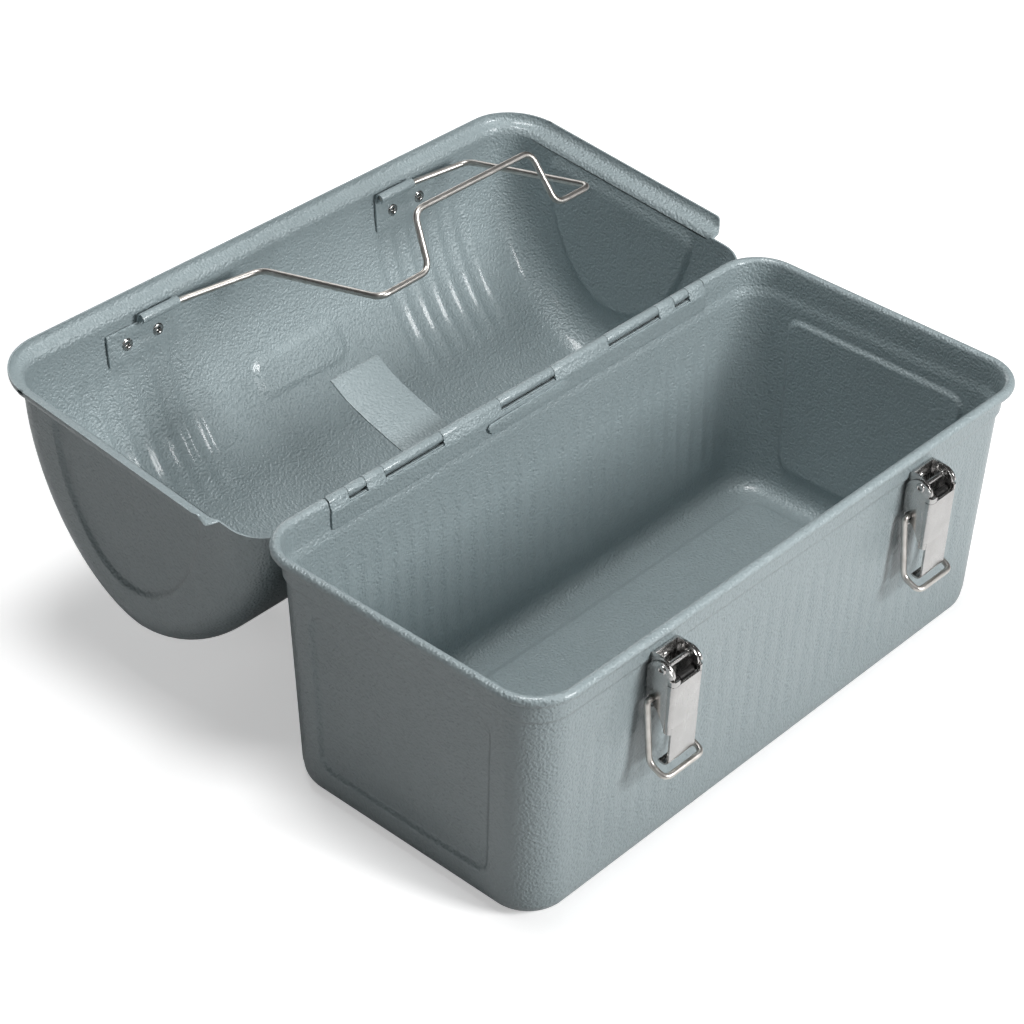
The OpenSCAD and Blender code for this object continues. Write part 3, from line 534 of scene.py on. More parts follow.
def base_tub():
    """The tub: walls, rim and pressed floor as one closed sheet."""
    long_xs = steps((-130.5, 130.5, 0.95))
    end_ys = steps((-52, -43, 0.65), (-43, 43, 6), (43, 52, 0.65))
    loop = Loop(list(long_xs), [-118.1, -117.7, 117.7, 118.1], end_ys, 16)
    zs = steps((11, 14.4, 1.2), (14.4, 20, 0.55), (20, 26, 1), (26, 82, 5), (82, 93, 1.3), (93, 99, 0.55),
               (99, 108, 0.5), (108, 115.4, 2.4))
    outer = floor_rings(loop, 0) + fillet_rings(loop, FILLET, 0) + [wall_ring(loop, z, 0) for z in zs]
    inner = [wall_ring(loop, z, SHEET) for z in zs[::-1]]
    inner += fillet_rings(loop, FILLET - SHEET, SHEET)[::-1] + floor_rings(loop, SHEET)[::-1]
    rings = outer + rim_rings(loop) + inner
    n = loop.n
    faces = ring_quads(n, len(rings))
    faces.append(tuple(range(n))[::-1])
    faces.append(tuple(range((len(rings) - 1) * n, len(rings) * n)))
    add_mesh("tub_shell", np.concatenate(rings), faces, "base", PAINT, ("base_tub",), sharp=50)


# ---------- lid shell ----------

LID_Z = 121.5
DOME_RISE = 96.9
CROWN_Y = 2.0
FRONT_REACH, REAR_REACH = 79.6, 74.1
FRONT_POWER, REAR_POWER = 1.84, 1.77
DOME_HALF, END_R = 155.0, 17.0
WALL_HALF = DOME_HALF - END_R
FLANGE_HALF, FLANGE_FRONT, FLANGE_R, FLANGE_Z = 164.0, 83.0, 27.0, 115.8
TONGUE_Y, TONGUE_R = 46.0, 7.0
PAD_DEPTH = 0.9
LID_RIB_FIRST, LID_RIB_PITCH, LID_RIBS, LID_RIB_DEPTH = 66.0, 10.1, 6, 0.95


def outline(side, t):
    p = FRONT_POWER if side < 0 else REAR_POWER
    reach = FRONT_REACH if side < 0 else REAR_REACH
    y = CROWN_Y + side * reach * max(0.0, math.cos(t)) ** (2 / p)
    return np.array([y, LID_Z + DOME_RISE * max(0.0, math.sin(t)) ** (2 / p)])


def inward(side, t):
    """Unit vector from the outline into the dome."""
    if t < math.radians(0.6):
        return np.array([-side, 0.0])
    if t > math.radians(89.4):
        return np.array([0.0, -1.0])
    h = math.radians(0.5)
    d = outline(side, t + h) - outline(side, t - h)
    return side * np.array([-d[1], d[0]]) / np.linalg.norm(d)


def lid_ribs(x, t_deg):
    """Relief of the two groups of ribs in the dome's front half."""
    last = LID_RIB_FIRST + (LID_RIBS - 1) * LID_RIB_PITCH
    wave = np.sqrt(np.cos(math.pi * (np.abs(x) - LID_RIB_FIRST) / LID_RIB_PITCH) ** 2 + 0.04) - 0.2
    across = smooth(LID_RIB_FIRST - 5.6, LID_RIB_FIRST - 3.6, np.abs(x))
    across = across * (1 - smooth(last + 3.6, last + 5.6, np.abs(x)))
    return LID_RIB_DEPTH * wave * across * smooth(14, 20, t_deg) * (1 - smooth(56, 64, t_deg))


def lid_pad(x, t_deg):
    """Relief of the pad pressed towards the inside between the rib groups."""
    along = (t_deg - 39) * 1.62
    d = rounded_box_distance(x - 0.25, along, 26.75, 9.7, 6)
    return PAD_DEPTH * (1 - smooth(-2.8, 1.0, d))


def end_emboss(y, z):
    """Relief of the D pressed into each end panel of the lid."""
    v = y + 3
    p = np.where(v < 0, 1.8, 2.1)
    up = np.maximum(z - LID_Z, 0)
    radial = (np.abs(v / 45.5) ** p + (up / 70) ** p) ** (1 / p)
    d = np.maximum((radial - 1) * 52, 127 - z)
    soft = np.maximum((radial - 1) * 52, -30) + np.maximum(127 - z, -30)
    rounded = np.hypot(np.maximum((radial - 1) * 52 + 6, 0), np.maximum(133 - z, 0)) - 6
    corner = np.where(soft > -8, rounded, d)
    return END_PANEL_DEPTH * (1 - smooth(-1.7, 1.0, np.maximum(d, corner)))


class LidLoop:
    """Stops round the lid: corners, the front and rear sides, and the two end panels."""

    def __init__(self, side_xs, shares, corner_steps):
        quarter = np.linspace(0, 90, corner_steps + 1)
        rows = [(1, 1, a, 0.0, 0) for a in quarter[::-1]]
        rows += [(0, 1, 0.0, x, 1) for x in side_xs[::-1]]
        rows += [(-1, 1, a, 0.0, 0) for a in quarter]
        rows += [(-1, 0, 0.0, s, 2) for s in shares[::-1]]
        rows += [(-1, -1, a, 0.0, 0) for a in quarter[::-1]]
        rows += [(0, -1, 0.0, x, 1) for x in side_xs]
        rows += [(1, -1, a, 0.0, 0) for a in quarter]
        rows += [(1, 0, 0.0, s, 2) for s in shares]
        table = np.array(rows, float)
        self.sx, self.sy, self.a, self.at = table[:, 0], table[:, 1], np.radians(table[:, 2]), table[:, 3]
        self.corner, self.side, self.end = (table[:, 4] == k for k in range(3))
        self.n = len(table)

    def dome(self, t, depth, reliefs=True):
        """A ring of the dome at angle t, inset by depth from its outer face."""
        t_deg = math.degrees(t)
        out = np.zeros((self.n, 3))
        edge = {side: (outline(side, t), inward(side, t)) for side in (-1, 1)}
        for side in (-1, 1):
            at, to_inside = edge[side]
            pick = self.side & (self.sy == side)
            x = self.at[pick]
            relief = 0.0
            if reliefs and side < 0:
                relief = lid_pad(x, t_deg) - lid_ribs(x, t_deg)
            d = (depth + relief)[:, None] if reliefs and side < 0 else depth
            out[pick, 0] = x
            out[pick, 1:] = at + to_inside * d
            pick = self.corner & (self.sy == side)
            a = self.a[pick][:, None]
            out[pick, 1:] = at + to_inside * (END_R - (END_R - depth) * np.cos(a))
            out[pick, 0] = self.sx[pick] * (WALL_HALF + (END_R - depth) * np.sin(self.a[pick]))
        front = edge[-1][0] + END_R * edge[-1][1]
        back = edge[1][0] + END_R * edge[1][1]
        pick = self.end
        mid = front + (back - front) * self.at[pick][:, None]
        emboss = end_emboss(mid[:, 0], mid[:, 1]) if reliefs else 0
        out[pick, 0] = self.sx[pick] * (DOME_HALF - depth - emboss)
        out[pick, 1:] = mid
        return out

    def edge(self, depth):
        """X and Y of the flange's outline, inset by depth."""
        wall = self.dome(0, depth, False)
        r = FLANGE_R - depth
        x = np.where(self.corner, self.sx * (FLANGE_HALF - FLANGE_R + r * np.sin(self.a)),
                     np.where(self.end, self.sx * (FLANGE_HALF - depth), self.at))
        y = np.where(self.corner, self.sy * (FLANGE_FRONT - FLANGE_R + r * np.cos(self.a)),
                     np.where(self.end, wall[:, 1], self.sy * (FLANGE_FRONT - depth)))
        return x, y

    def flange_share(self):
        """1 where the lid has its flange, 0 along the rear, and the tapered tips between."""
        y = self.dome(0, 0, False)[:, 1]
        past = np.clip((y - TONGUE_Y) / TONGUE_R, 0, 1)
        return np.where(self.end, np.sqrt(1 - past ** 2), np.where(self.sy > 0, 0.0, 1.0))


# Share of the flange's reach, and height over the lid's edge.
FLANGE_PROFILE = [(0, 2.2), (0.05, 1.2), (0.16, 0.4), (0.33, 0), (0.6, -0.5), (0.85, -1.6), (0.96, -3),
                  (1, -4.5)]


def flange_ring(loop, share_out, z, depth, under=0.0):
    """A ring of the flange; z is its height where full, and the tongue's tip rises to clear the bead."""
    full = loop.flange_share()
    wall = loop.dome(0, depth, False)
    ex, ey = loop.edge(depth)
    k = share_out * full
    down = smooth(0.62, 0.95, full)
    tip_z = LID_Z - under * smooth(0, 0.5, full)
    return np.stack([lerp(wall[:, 0], ex, k), lerp(wall[:, 1], ey, k), lerp(tip_z, z, down)], 1)


def fine_profile(profile, count):
    """The flange's profile as a smooth curve through its points."""
    p = np.array(profile, float)
    run = np.concatenate([[0], np.cumsum(np.hypot(np.diff(p[:, 0] * 8), np.diff(p[:, 1])))])
    at = np.linspace(0, run[-1], count)
    share, dz = np.interp(at, run, p[:, 0]), np.interp(at, run, p[:, 1])
    for _ in range(2):
        share[1:-1] = (share[:-2] + 2 * share[1:-1] + share[2:]) / 4
        dz[1:-1] = (dz[:-2] + 2 * dz[1:-1] + dz[2:]) / 4
    return list(zip(share, dz))


def lid_shell():
    """The lid: dome and flange as one closed sheet, turned open."""
    side_xs = steps((-137, 137, 1.0))
    shares = steps((0.012, 0.87, 0.0085), (0.87, 0.96, 0.003), (0.96, 0.988, 0.007))
    loop = LidLoop(side_xs, shares, 16)
    angles = np.radians(steps((2, 12, 2), (12, 22, 0.8), (22, 30, 1.6), (30, 48, 0.7), (48, 54, 1.5),
                              (54, 66, 1.0), (66, 90, 1.5)))
    profile = fine_profile(FLANGE_PROFILE, 18)
    outer = [loop.dome(t, 0) for t in angles[::-1]]
    outer += [flange_ring(loop, s, LID_Z + dz, 0) for s, dz in profile]
    outer += [flange_ring(loop, 1, z, 0) for z in (FLANGE_Z + 0.2, FLANGE_Z)]
    inner = [flange_ring(loop, 1, z, SHEET, SHEET) for z in (FLANGE_Z, FLANGE_Z + 0.2)]
    for s, dz in profile[::-1]:
        under = SHEET * smooth(0, 0.3, s)
        inner.append(flange_ring(loop, s, LID_Z + dz - under, SHEET, under))
    inner += [loop.dome(t, SHEET) for t in angles]
    rings = outer + inner
    faces = ring_quads(loop.n, len(rings))
    add_mesh("lid_dome", opened(np.concatenate(rings)), faces, "lid", PAINT, ("lid_shell",),
             weld=0.004, sharp=60)


# ---------- hinge ----------

KNUCKLE_ENDS = (0, 17, 52, 86.2, 96.9, 107, HINGE_HALF)
KNUCKLE_MID_R, LEAF_T, GAP = 1.88, 0.84, 0.3
BASE_LEAF_Y, LID_LEAF_Y = 71.99, 74.4


def knuckle_spans(which):
    """X ranges of the knuckles with the given numbers, on both sides of the middle."""
    spans = []
    for k in which:
        lo, hi = KNUCKLE_ENDS[k] + GAP / 2, KNUCKLE_ENDS[k + 1] - GAP / 2
        spans += [(-hi, hi)] if k == 0 else [(lo, hi), (-hi, -lo)]
    return spans


def base_hinge():
    """Leaf inside the rear wall whose upper edge is rolled round the pin at the base's knuckles."""
    hy, hz = HINGE[1], HINGE[2]
    at = lambda u, v, w: (w, u, v)
    parts = Parts()
    rolled = [(BASE_LEAF_Y, 113.6), (BASE_LEAF_Y, 114.8), (BASE_LEAF_Y + 0.25, 115.9)]
    rolled += [(BASE_LEAF_Y + 0.8, 117.0)] + arc(hy, hz, KNUCKLE_MID_R, 168, -62, 26)
    for lo, hi in knuckle_spans((1, 3, 5)):
        parts.add(plate([strip_outline(rolled, LEAF_T)], lo, hi), at)
    flat = lambda u, v, w: (u, w, v)
    low, high, r = 106.4, 115.2, 1.6
    corners = [(-HINGE_HALF, high), (-HINGE_HALF, low), (HINGE_HALF, low), (HINGE_HALF, high)]
    bent = round_corners([(0, high, 0)] + [(u, v, 0) for u, v in corners] + [(0, high, 0)], r, 5)[1:-1]
    leaf = [tuple(p[:2]) for p in bent]
    parts.add(plate([leaf], BASE_LEAF_Y - LEAF_T / 2, BASE_LEAF_Y + LEAF_T / 2), flat)
    left, right = -27.0, 29.6
    flap = [(left + 7.5, 107.2), (left + 4.6, 107.8), (left + 2.2, 109.0), (left + 0.6, 110.6),
            (left, 112.2), (left + 1.5, 113.6), (right - 8, 113.6), (right, 107.6), (right - 3, 107.1)]
    parts.add(plate([flap], 0, 0.8), lambda u, v, w: (u, BASE_LEAF_Y - 1.9 + w + (u - left) * 0.022, v))
    add_mesh("base_leaf", parts.points, parts.faces, "base", PAINT, ("base_hinge_leaf",),
             sharp=35, bevel=0.14)


def lid_hinge():
    """Leaf inside the lid's rear wall with its own rolled knuckles, drawn closed and turned open."""
    hy, hz = HINGE[1], HINGE[2]
    at = lambda u, v, w: (w, u, v)
    parts = Parts()
    rolled = [(LID_LEAF_Y, 124.4), (LID_LEAF_Y, 122.4), (LID_LEAF_Y - 0.3, 121.4)]
    rolled += [(LID_LEAF_Y - 1.0, 120.2)] + arc(hy, hz, KNUCKLE_MID_R, 150, 405, 30)
    for lo, hi in knuckle_spans((0, 2, 4)):
        parts.add(plate([strip_outline(rolled, LEAF_T)], lo, hi), at)
    parts.add(plate([[(LID_LEAF_Y - 0.4, 121.4), (LID_LEAF_Y + 0.4, 121.4), (LID_LEAF_Y + 0.4, 128),
                      (LID_LEAF_Y - 0.4, 128)]], -HINGE_HALF, HINGE_HALF), at)
    add_mesh("lid_leaf", opened(parts.points), parts.faces, "lid", PAINT, ("lid_hinge_leaf",),
             sharp=35, bevel=0.12)


def bottle_strap():
    """Curved strap with a rolled tip, riveted to the lid's rear wall."""
    lo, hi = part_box("bottle_strap")[0][0] / MM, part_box("bottle_strap")[1][0] / MM
    y = 73.1
    line = [(y, 134), (y, 131.5), (y, 129.4), (y - 0.8, 127.7), (y - 2.6, 126.9), (68, 126.3), (64, 125.75),
            (59, 124.95), (54, 124.0), (48, 122.9), (42, 121.6), (37, 120.35), (32, 118.8), (28.5, 117.3),
            (26, 116.0), (24.2, 115.0), (23.0, 114.5), (22.0, 114.5)]
    parts = Parts().add(plate([strip_outline(line, 0.8)], lo, hi), lambda u, v, w: (w, u, v))
    add_mesh("strap", opened(parts.points), parts.faces, "lid", PAINT, ("bottle_strap",),
             sharp=35, bevel=0.28)


# ---------- latches ----------

BRACKET_HALF, LATCH_T = 7.6, 1.0
BRACKET_BACK, BRACKET_TOP, BRACKET_FOOT = -73.74, 109.0, 82.0
PIVOT_YZ, BAIL_YZ, AXLE_YZ = (-80.2, 104.8), (-75.9, 88.5), (-83.0, 98.6)
EAR_IN, EAR_OUT = 7.9, 8.9
BAIL_R = 1.3
PLATE_Y, PLATE_TOP, PLATE_FOOT, PLATE_LEAN = -86.6, 101.6, 60.4, 1.3
JOG_Z = 75.0


def plate_face_y(z):
    """Where the lever's front face lies at a height."""
    return PLATE_Y + PLATE_LEAN * (PLATE_TOP - z) / (PLATE_TOP - PLATE_FOOT)


def bent_section(z, from_x, to_x):
    """Section of the lever's front plate with its rounded folds, between two places across it."""
    r = 1.7
    y = plate_face_y(z)
    line = [(-EAR_OUT, y + 3.2)] + arc(-EAR_OUT + r, y + r, r, 180, 270, 9)
    line += arc(EAR_OUT - r, y + r, r, 270, 360, 9) + [(EAR_OUT, y + 3.2)]
    xs = np.array([p[0] for p in line])
    ys = np.array([p[1] for p in line])
    run = np.concatenate([[0], np.cumsum(np.hypot(np.diff(xs), np.diff(ys)))])
    lo = 0.0 if from_x <= -EAR_OUT else np.interp(from_x, xs[9:11], run[9:11])
    hi = run[-1] if to_x >= EAR_OUT else np.interp(to_x, xs[9:11], run[9:11])
    at = np.unique(np.concatenate([[lo, hi], run[(run > lo) & (run < hi)]]))
    outer = np.stack([np.interp(at, run, xs), np.interp(at, run, ys)], 1)
    outline_in = np.array(strip_outline(outer, 2 * LATCH_T))[: len(at)]
    loop = np.concatenate([outer, outline_in[::-1]])
    return [(px, py, z) for px, py in loop]


def latch_lever(side, x):
    """Lever with folded sides."""
    at = lambda u, v, w: (x + w, u, v)
    parts = Parts()
    r, cy, cz = 6.5, -79.5, 101.2
    front_top = plate_face_y(100) + 2.6
    ear = arc(cy, cz, r, 8, 165, 24)
    ear += [(front_top - 0.3, 101.5), (front_top, 99.5), (plate_face_y(JOG_Z) + 2.6, JOG_Z)]
    ear += [(-83.5, 74.6), (-81.5, 78.6), (-79.4, 82.9), (-78.4, 84.5), (-77.2, 85.2), (-75.7, 85.2)]
    ear += [(-74.3, 85.9), (-73.4, 87.2), (-73.0, 88.9), (-72.95, 95)]
    holes = [arc(*BAIL_YZ, 1.85, 0, 345, 24)]
    for sign in (-1, 1):
        lo, hi = sorted((sign * EAR_IN, sign * (EAR_OUT - 0.02)))
        parts.add(plate([ear] + holes, lo, hi), at)
    place = lambda px, py, z: (x + px, py, z)
    heights = np.linspace(JOG_Z, 99.0, 5)
    parts.add(stack([bent_section(z, -20, 20) for z in heights]), place)
    parts.add(stack([bent_section(z, -20, -5.2) for z in (98.6, 100, PLATE_TOP - 0.3)]), place)
    parts.add(stack([bent_section(z, 6.6, 20) for z in (98.6, 100, PLATE_TOP)]), place)
    low = plate_face_y(PLATE_FOOT + 1.2)
    curl = [(plate_face_y(z) + LATCH_T / 2, z) for z in (78, 74, 70, 66, 63.5)]
    curl += arc(low + 3.2, PLATE_FOOT + 1.2, 2.7, 180, 318, 16)
    half = EAR_OUT - 1.1
    parts.add(plate([strip_outline(curl, LATCH_T)], -half, half), at)
    add_mesh("lever_" + side, parts.points, parts.faces, "lever_" + side, NICKEL,
             ("latch_lever_" + side,), sharp=32, bevel=0.16)


def latch_bracket(side, x):
    """Bracket on the tub's front wall that carries the lever."""
    at = lambda u, v, w: (x + w, u, v)
    parts = Parts()
    cheek = [(BRACKET_BACK, BRACKET_TOP), (BRACKET_BACK, BRACKET_FOOT + 4)]
    cheek += [(BRACKET_BACK - 2.5, BRACKET_FOOT + 4), (-84.4, 94.6)] + arc(-77.4, 101.0, 8.0, 207, 90, 18)
    hole = arc(*PIVOT_YZ, 1.72, 0, 345, 24)
    for sign in (-1, 1):
        lo, hi = sorted((sign * BRACKET_HALF, sign * (BRACKET_HALF - LATCH_T)))
        parts.add(plate([cheek, hole], lo, hi), at)
    flat = lambda u, v, w: (x + u, w, v)
    back = [(-BRACKET_HALF + 0.02, BRACKET_TOP - 0.02), (-BRACKET_HALF + 0.02, BRACKET_FOOT + 1.5)]
    back += arc(-BRACKET_HALF + 2, BRACKET_FOOT + 2, 2, 190, 270, 5)
    back += arc(BRACKET_HALF - 2, BRACKET_FOOT + 2, 2, 270, 350, 5)
    back += [(BRACKET_HALF - 0.02, BRACKET_FOOT + 1.5), (BRACKET_HALF - 0.02, BRACKET_TOP - 0.02)]
    parts.add(plate([back], BRACKET_BACK - LATCH_T, BRACKET_BACK - 0.02), flat)
    add_mesh("bracket_" + side, parts.points, parts.faces, "base", NICKEL,
             ("latch_bracket_" + side,), sharp=32, bevel=0.14)


def latch_pin(side, x):
    """Hollow rivet: a slim barrel across the bracket and a rolled ring round each open end."""
    end = [(EAR_OUT - 2.4, 0.0), (EAR_OUT - 2.4, 0.95), (EAR_OUT + 0.55, 1.0), (EAR_OUT + 0.72, 1.15),
           (EAR_OUT + 0.78, 1.4), (EAR_OUT + 0.7, 1.7), (EAR_OUT + 0.45, 1.95), (EAR_OUT + 0.05, 2.05),
           (EAR_OUT - 0.05, 1.68), (BRACKET_HALF - LATCH_T - 0.3, 1.68),
           (BRACKET_HALF - LATCH_T - 0.5, 1.15)]
    profile = end + [(-px, pr) for px, pr in end[::-1]]
    parts = Parts().add(revolve([(px, max(pr, 0.02)) for px, pr in profile]),
                        lambda px, py, pz: (x + px, py + PIVOT_YZ[0], pz + PIVOT_YZ[1]))
    add_mesh("pivot_rivet_" + side, parts.points, parts.faces, "base", NICKEL,
             ("latch_pivot_pin_" + side,), sharp=40)


def latch_spring(side, x):
    """Torsion spring: close turns on the axle and a leg up the bracket's back."""
    turns, r = 5, 1.35
    count = turns * 16
    angles = np.linspace(0.5, 0.5 + turns * 2 * math.pi, count)
    path = [(x - 6.4 + 3.8 * k, AXLE_YZ[0] + r * math.cos(a), AXLE_YZ[1] + r * math.sin(a))
            for k, a in zip(np.linspace(0, 1, count), angles)]
    leg = [(x - 6.4, BRACKET_BACK - LATCH_T - 0.45, AXLE_YZ[1] + 6.5), (x - 6.4, -77.5, AXLE_YZ[1] + 3.4)]
    parts = Parts().add(tube(leg + path, 0.36, 10))
    add_mesh("spring_" + side, parts.points, parts.faces, "base", OXIDE,
             ("latch_spring_" + side,))


def latch_bail(side, x):
    """Wire bail that hangs on the lever and hooks over the lid."""
    half = EAR_OUT + 2.55
    y, z = BAIL_YZ
    leg = [(EAR_IN + 0.1, y, z), (half, y, z), (half, -78.7, 59.3), (half, -87.0, 56.0)]
    line = [(x - px, py, pz) for px, py, pz in leg] + [(x + px, py, pz) for px, py, pz in leg[::-1]]
    parts = Parts().add(tube(round_corners(line, 3.4), BAIL_R, 24))
    add_mesh("bail_wire_" + side, parts.points, parts.faces, "bail_" + side, WIRE,
             ("latch_bail_" + side,))


def bottle_wire():
    """Sprung wire: its two ends turn in the clips, and its loops follow the CAD's path."""
    wire_y, wire_z = CLIP_Y + 1.9, WIRE_Z
    left, right = (-77.0, -61.0), (63.6, 86.0)
    line = [(left[0], 0, 0), (left[1] - 1.2, 0, 0), (-22.4, 11.4, 0), (-25.1, 91, 0), (5.7, 90, 0),
            (9.4, 83.6, 25.3), (83.4, 83.6, 25.3), (87.1, 91, 0), (110, 91, 0), (115.7, 7, 0),
            (right[1] - 1.2, 0, 0), (right[0], 0, 0)]
    bent = round_corners([(px, py, -pz) for px, py, pz in line], 5.5, 9)
    tilt = turn_x(bent, math.radians(-WIRE_ANGLE), (0, 0, 0)) + np.array((0, wire_y, wire_z))
    parts = Parts().add(tube(opened(tilt), 1.5, 22))
    add_mesh("retainer_wire", parts.points, parts.faces, "wire", WIRE, ("bottle_wire",))


CLIP_X, CLIP_HALF, CLIP_H, CLIP_Z, CLIP_Y, CLIP_LEAN = 82.2, 19.6, 15.8, 128.4, -75.15, 8.5
WIRE_Z, WIRE_ANGLE, CURL_LEN = 125.6, 20.0, 21.5
CLIP_RIVETS, CLIP_RIVET_UP = (-8.9, 8.9), 8.0


def on_clip(side_x, points):
    """Turns points from a clip's own plate (x, out, up) to the closed lid."""
    return turn_x(points, math.radians(-CLIP_LEAN), (0, 0, 0)) + np.array((side_x, CLIP_Y, CLIP_Z))


def wire_clip(side, sign):
    """A thin plate whose lower edge is curled round the wire along one half."""
    x = sign * CLIP_X
    corners = [(CLIP_HALF, 0), (CLIP_HALF, CLIP_H), (-CLIP_HALF, CLIP_H), (-CLIP_HALF, 0)]
    bent = round_corners([(0, 0, 0)] + [(u, v, 0) for u, v in corners] + [(0, 0, 0)], 0.6, 4)[:-1]
    holes = [arc(u, CLIP_RIVET_UP, 1.5, 0, 340, 18) for u in CLIP_RIVETS]
    points, faces = plate([[tuple(p[:2]) for p in bent]] + holes, -0.8, 0)
    parts = Parts().add((on_clip(x, [(u, w, v) for u, v, w in points]), faces))
    start = x + (CLIP_HALF - CURL_LEN - 0.2 if sign < 0 else 0.2 - CLIP_HALF)
    mid_r = 1.98
    line = [(CLIP_Y + 0.1, CLIP_Z + 2.2), (CLIP_Y - 0.22, CLIP_Z + 0.6), (CLIP_Y - 0.2, CLIP_Z - 1.0)]
    line += arc(CLIP_Y + 1.9, WIRE_Z, mid_r, 172, 408, 26)
    parts.add(plate([strip_outline(line, 0.78)], start, start + CURL_LEN), lambda u, v, w: (w, u, v))
    add_mesh("clip_" + side, opened(parts.points), parts.faces, "lid", PAINT,
             ("wire_clip_" + side,), sharp=35, bevel=0.12)


def eyelets(side, sign):
    """Bright tubular rivets with rolled rims and a dark bore, through the clip and the lid."""
    x = sign * CLIP_X
    profile = [(-0.2, 0.02), (-0.25, 0.45), (-0.75, 0.7), (-0.75, 1.1), (0.42, 1.25), (0.68, 1.5),
               (0.78, 1.9), (0.7, 2.4), (0.42, 2.85), (0.02, 3.0), (0.0, 1.45), (-2.3, 1.45), (-2.32, 2.5),
               (-2.75, 2.5), (-3.0, 2.1), (-3.0, 0.02)]
    parts = Parts()
    for u in CLIP_RIVETS:
        points, faces = revolve(profile, 28)
        parts.add((on_clip(x, [(u + py, px, CLIP_RIVET_UP + pz) for px, py, pz in points]), faces))
    add_mesh("eyelets_" + side, opened(parts.points), parts.faces, "lid", NICKEL,
             ("clip_rivets_" + side,), sharp=50)


# ---------- handle and solid rivets ----------

CROWN_Z = LID_Z + DOME_RISE
HANDLE_X, HANDLE_R, HANDLE_REACH = 46.0, 3.0, 34.0
BRACKET_PLATE, HANDLE_PIVOT_YZ = 1.2, (CROWN_Y, CROWN_Z + 8.0)


def domed_rivet(start, stop, shank_r, head_r, head_h):
    """Profile along X of a solid rivet with a domed head outside each end of its grip length."""
    dome = [(head_h * math.sin(a), head_r * math.cos(a)) for a in np.radians((0, 18, 36, 54, 70, 82))]
    first = [(start - h, r) for h, r in dome[::-1]]
    last = [(stop + h, r) for h, r in dome]
    ends = [(start - head_h, 0.02)], [(stop + head_h, 0.02)]
    return ends[0] + first + [(start, shank_r), (stop, shank_r)] + last + ends[1]


def rivets(name, node, body, profile, place, spots, turned=None):
    """One object with a rivet at every spot; place turns (along, across, up) to the frame's axes."""
    parts = Parts()
    for spot in spots:
        points, faces = revolve(profile, 24)
        parts.add((points, faces), lambda a, b, c: tuple(np.array(place(a, b, c)) + np.array(spot)))
    points = turned(parts.points) if turned else parts.points
    add_mesh(name, points, parts.faces, body, NICKEL, (node,), sharp=50)


def solid_rivets():
    along_y = lambda a, b, c: (b, a, c)
    along_z = lambda a, b, c: (b, c, a)
    for side in ("left", "right"):
        x = JOINTS[f"latch_lever_{side}_pivot"]["pos_m"][0] / MM
        inner_wall = wall_inset((BRACKET_TOP + BRACKET_FOOT) / 2) + SHEET - RIM_W / 2
        rivets("bracket_rivets_" + side, "latch_bracket_rivets_" + side, "base",
               domed_rivet(BRACKET_BACK - LATCH_T, inner_wall, 1.5, 2.9, 0.75), along_y,
               [(x, 0, BRACKET_TOP - 6), (x, 0, BRACKET_FOOT + 5)])
        x = HANDLE_X * (-1 if side == "left" else 1)
        rivets("saddle_rivets_" + side, "handle_rivets_" + side, "lid",
               domed_rivet(CROWN_Z - SHEET - 0.05, CROWN_Z + 0.05 + BRACKET_PLATE, 1.5, 3.0, 0.9), along_z,
               [(x, CROWN_Y - 6, 0), (x, CROWN_Y + 6, 0)], opened)
    lo, hi = (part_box("bottle_strap")[k][0] / MM for k in (0, 1))
    rivets("strap_pins", "strap_rivets", "lid", domed_rivet(72.7, 75.35, 1.1, 2.1, 0.6), along_y,
           [(lo + 7, 0, 131.6), (hi - 7, 0, 131.6)], opened)


def handle_bracket(side, sign):
    """Saddle riveted to the crown, with two rounded cheeks that carry the handle's rod."""
    x, base = sign * HANDLE_X, CROWN_Z + 0.05
    parts = Parts()
    corners = [(8, 9), (-8, 9), (-8, -9), (8, -9)]
    bent = round_corners([(8, 0, 0)] + [(u, v, 0) for u, v in corners] + [(8, 0, 0)], 2.0, 5)[:-1]
    holes = [arc(0, v, 1.5, 0, 340, 16) for v in (-6, 6)]
    parts.add(plate([[tuple(p[:2]) for p in bent]] + holes, base, base + BRACKET_PLATE),
              lambda u, v, w: (x + u, CROWN_Y + v, w))
    top = HANDLE_PIVOT_YZ[1]
    cheek = [(-8.8, base + 0.3), (8.8, base + 0.3), (8.6, base + 3.2)] + arc(0, top - 0.2, 4.4, 25, 155, 14)
    cheek += [(-8.6, base + 3.2)]
    hole = arc(0, top, HANDLE_R + 0.08, 0, 345, 24)
    for w in (-8.0, 8.0 - BRACKET_PLATE):
        parts.add(plate([cheek, hole], w, w + BRACKET_PLATE), lambda u, v, w: (x + w, CROWN_Y + u, v))
    add_mesh("saddle_" + side, opened(parts.points), parts.faces, "lid", NICKEL,
             ("handle_bracket_" + side,), sharp=32, bevel=0.18)


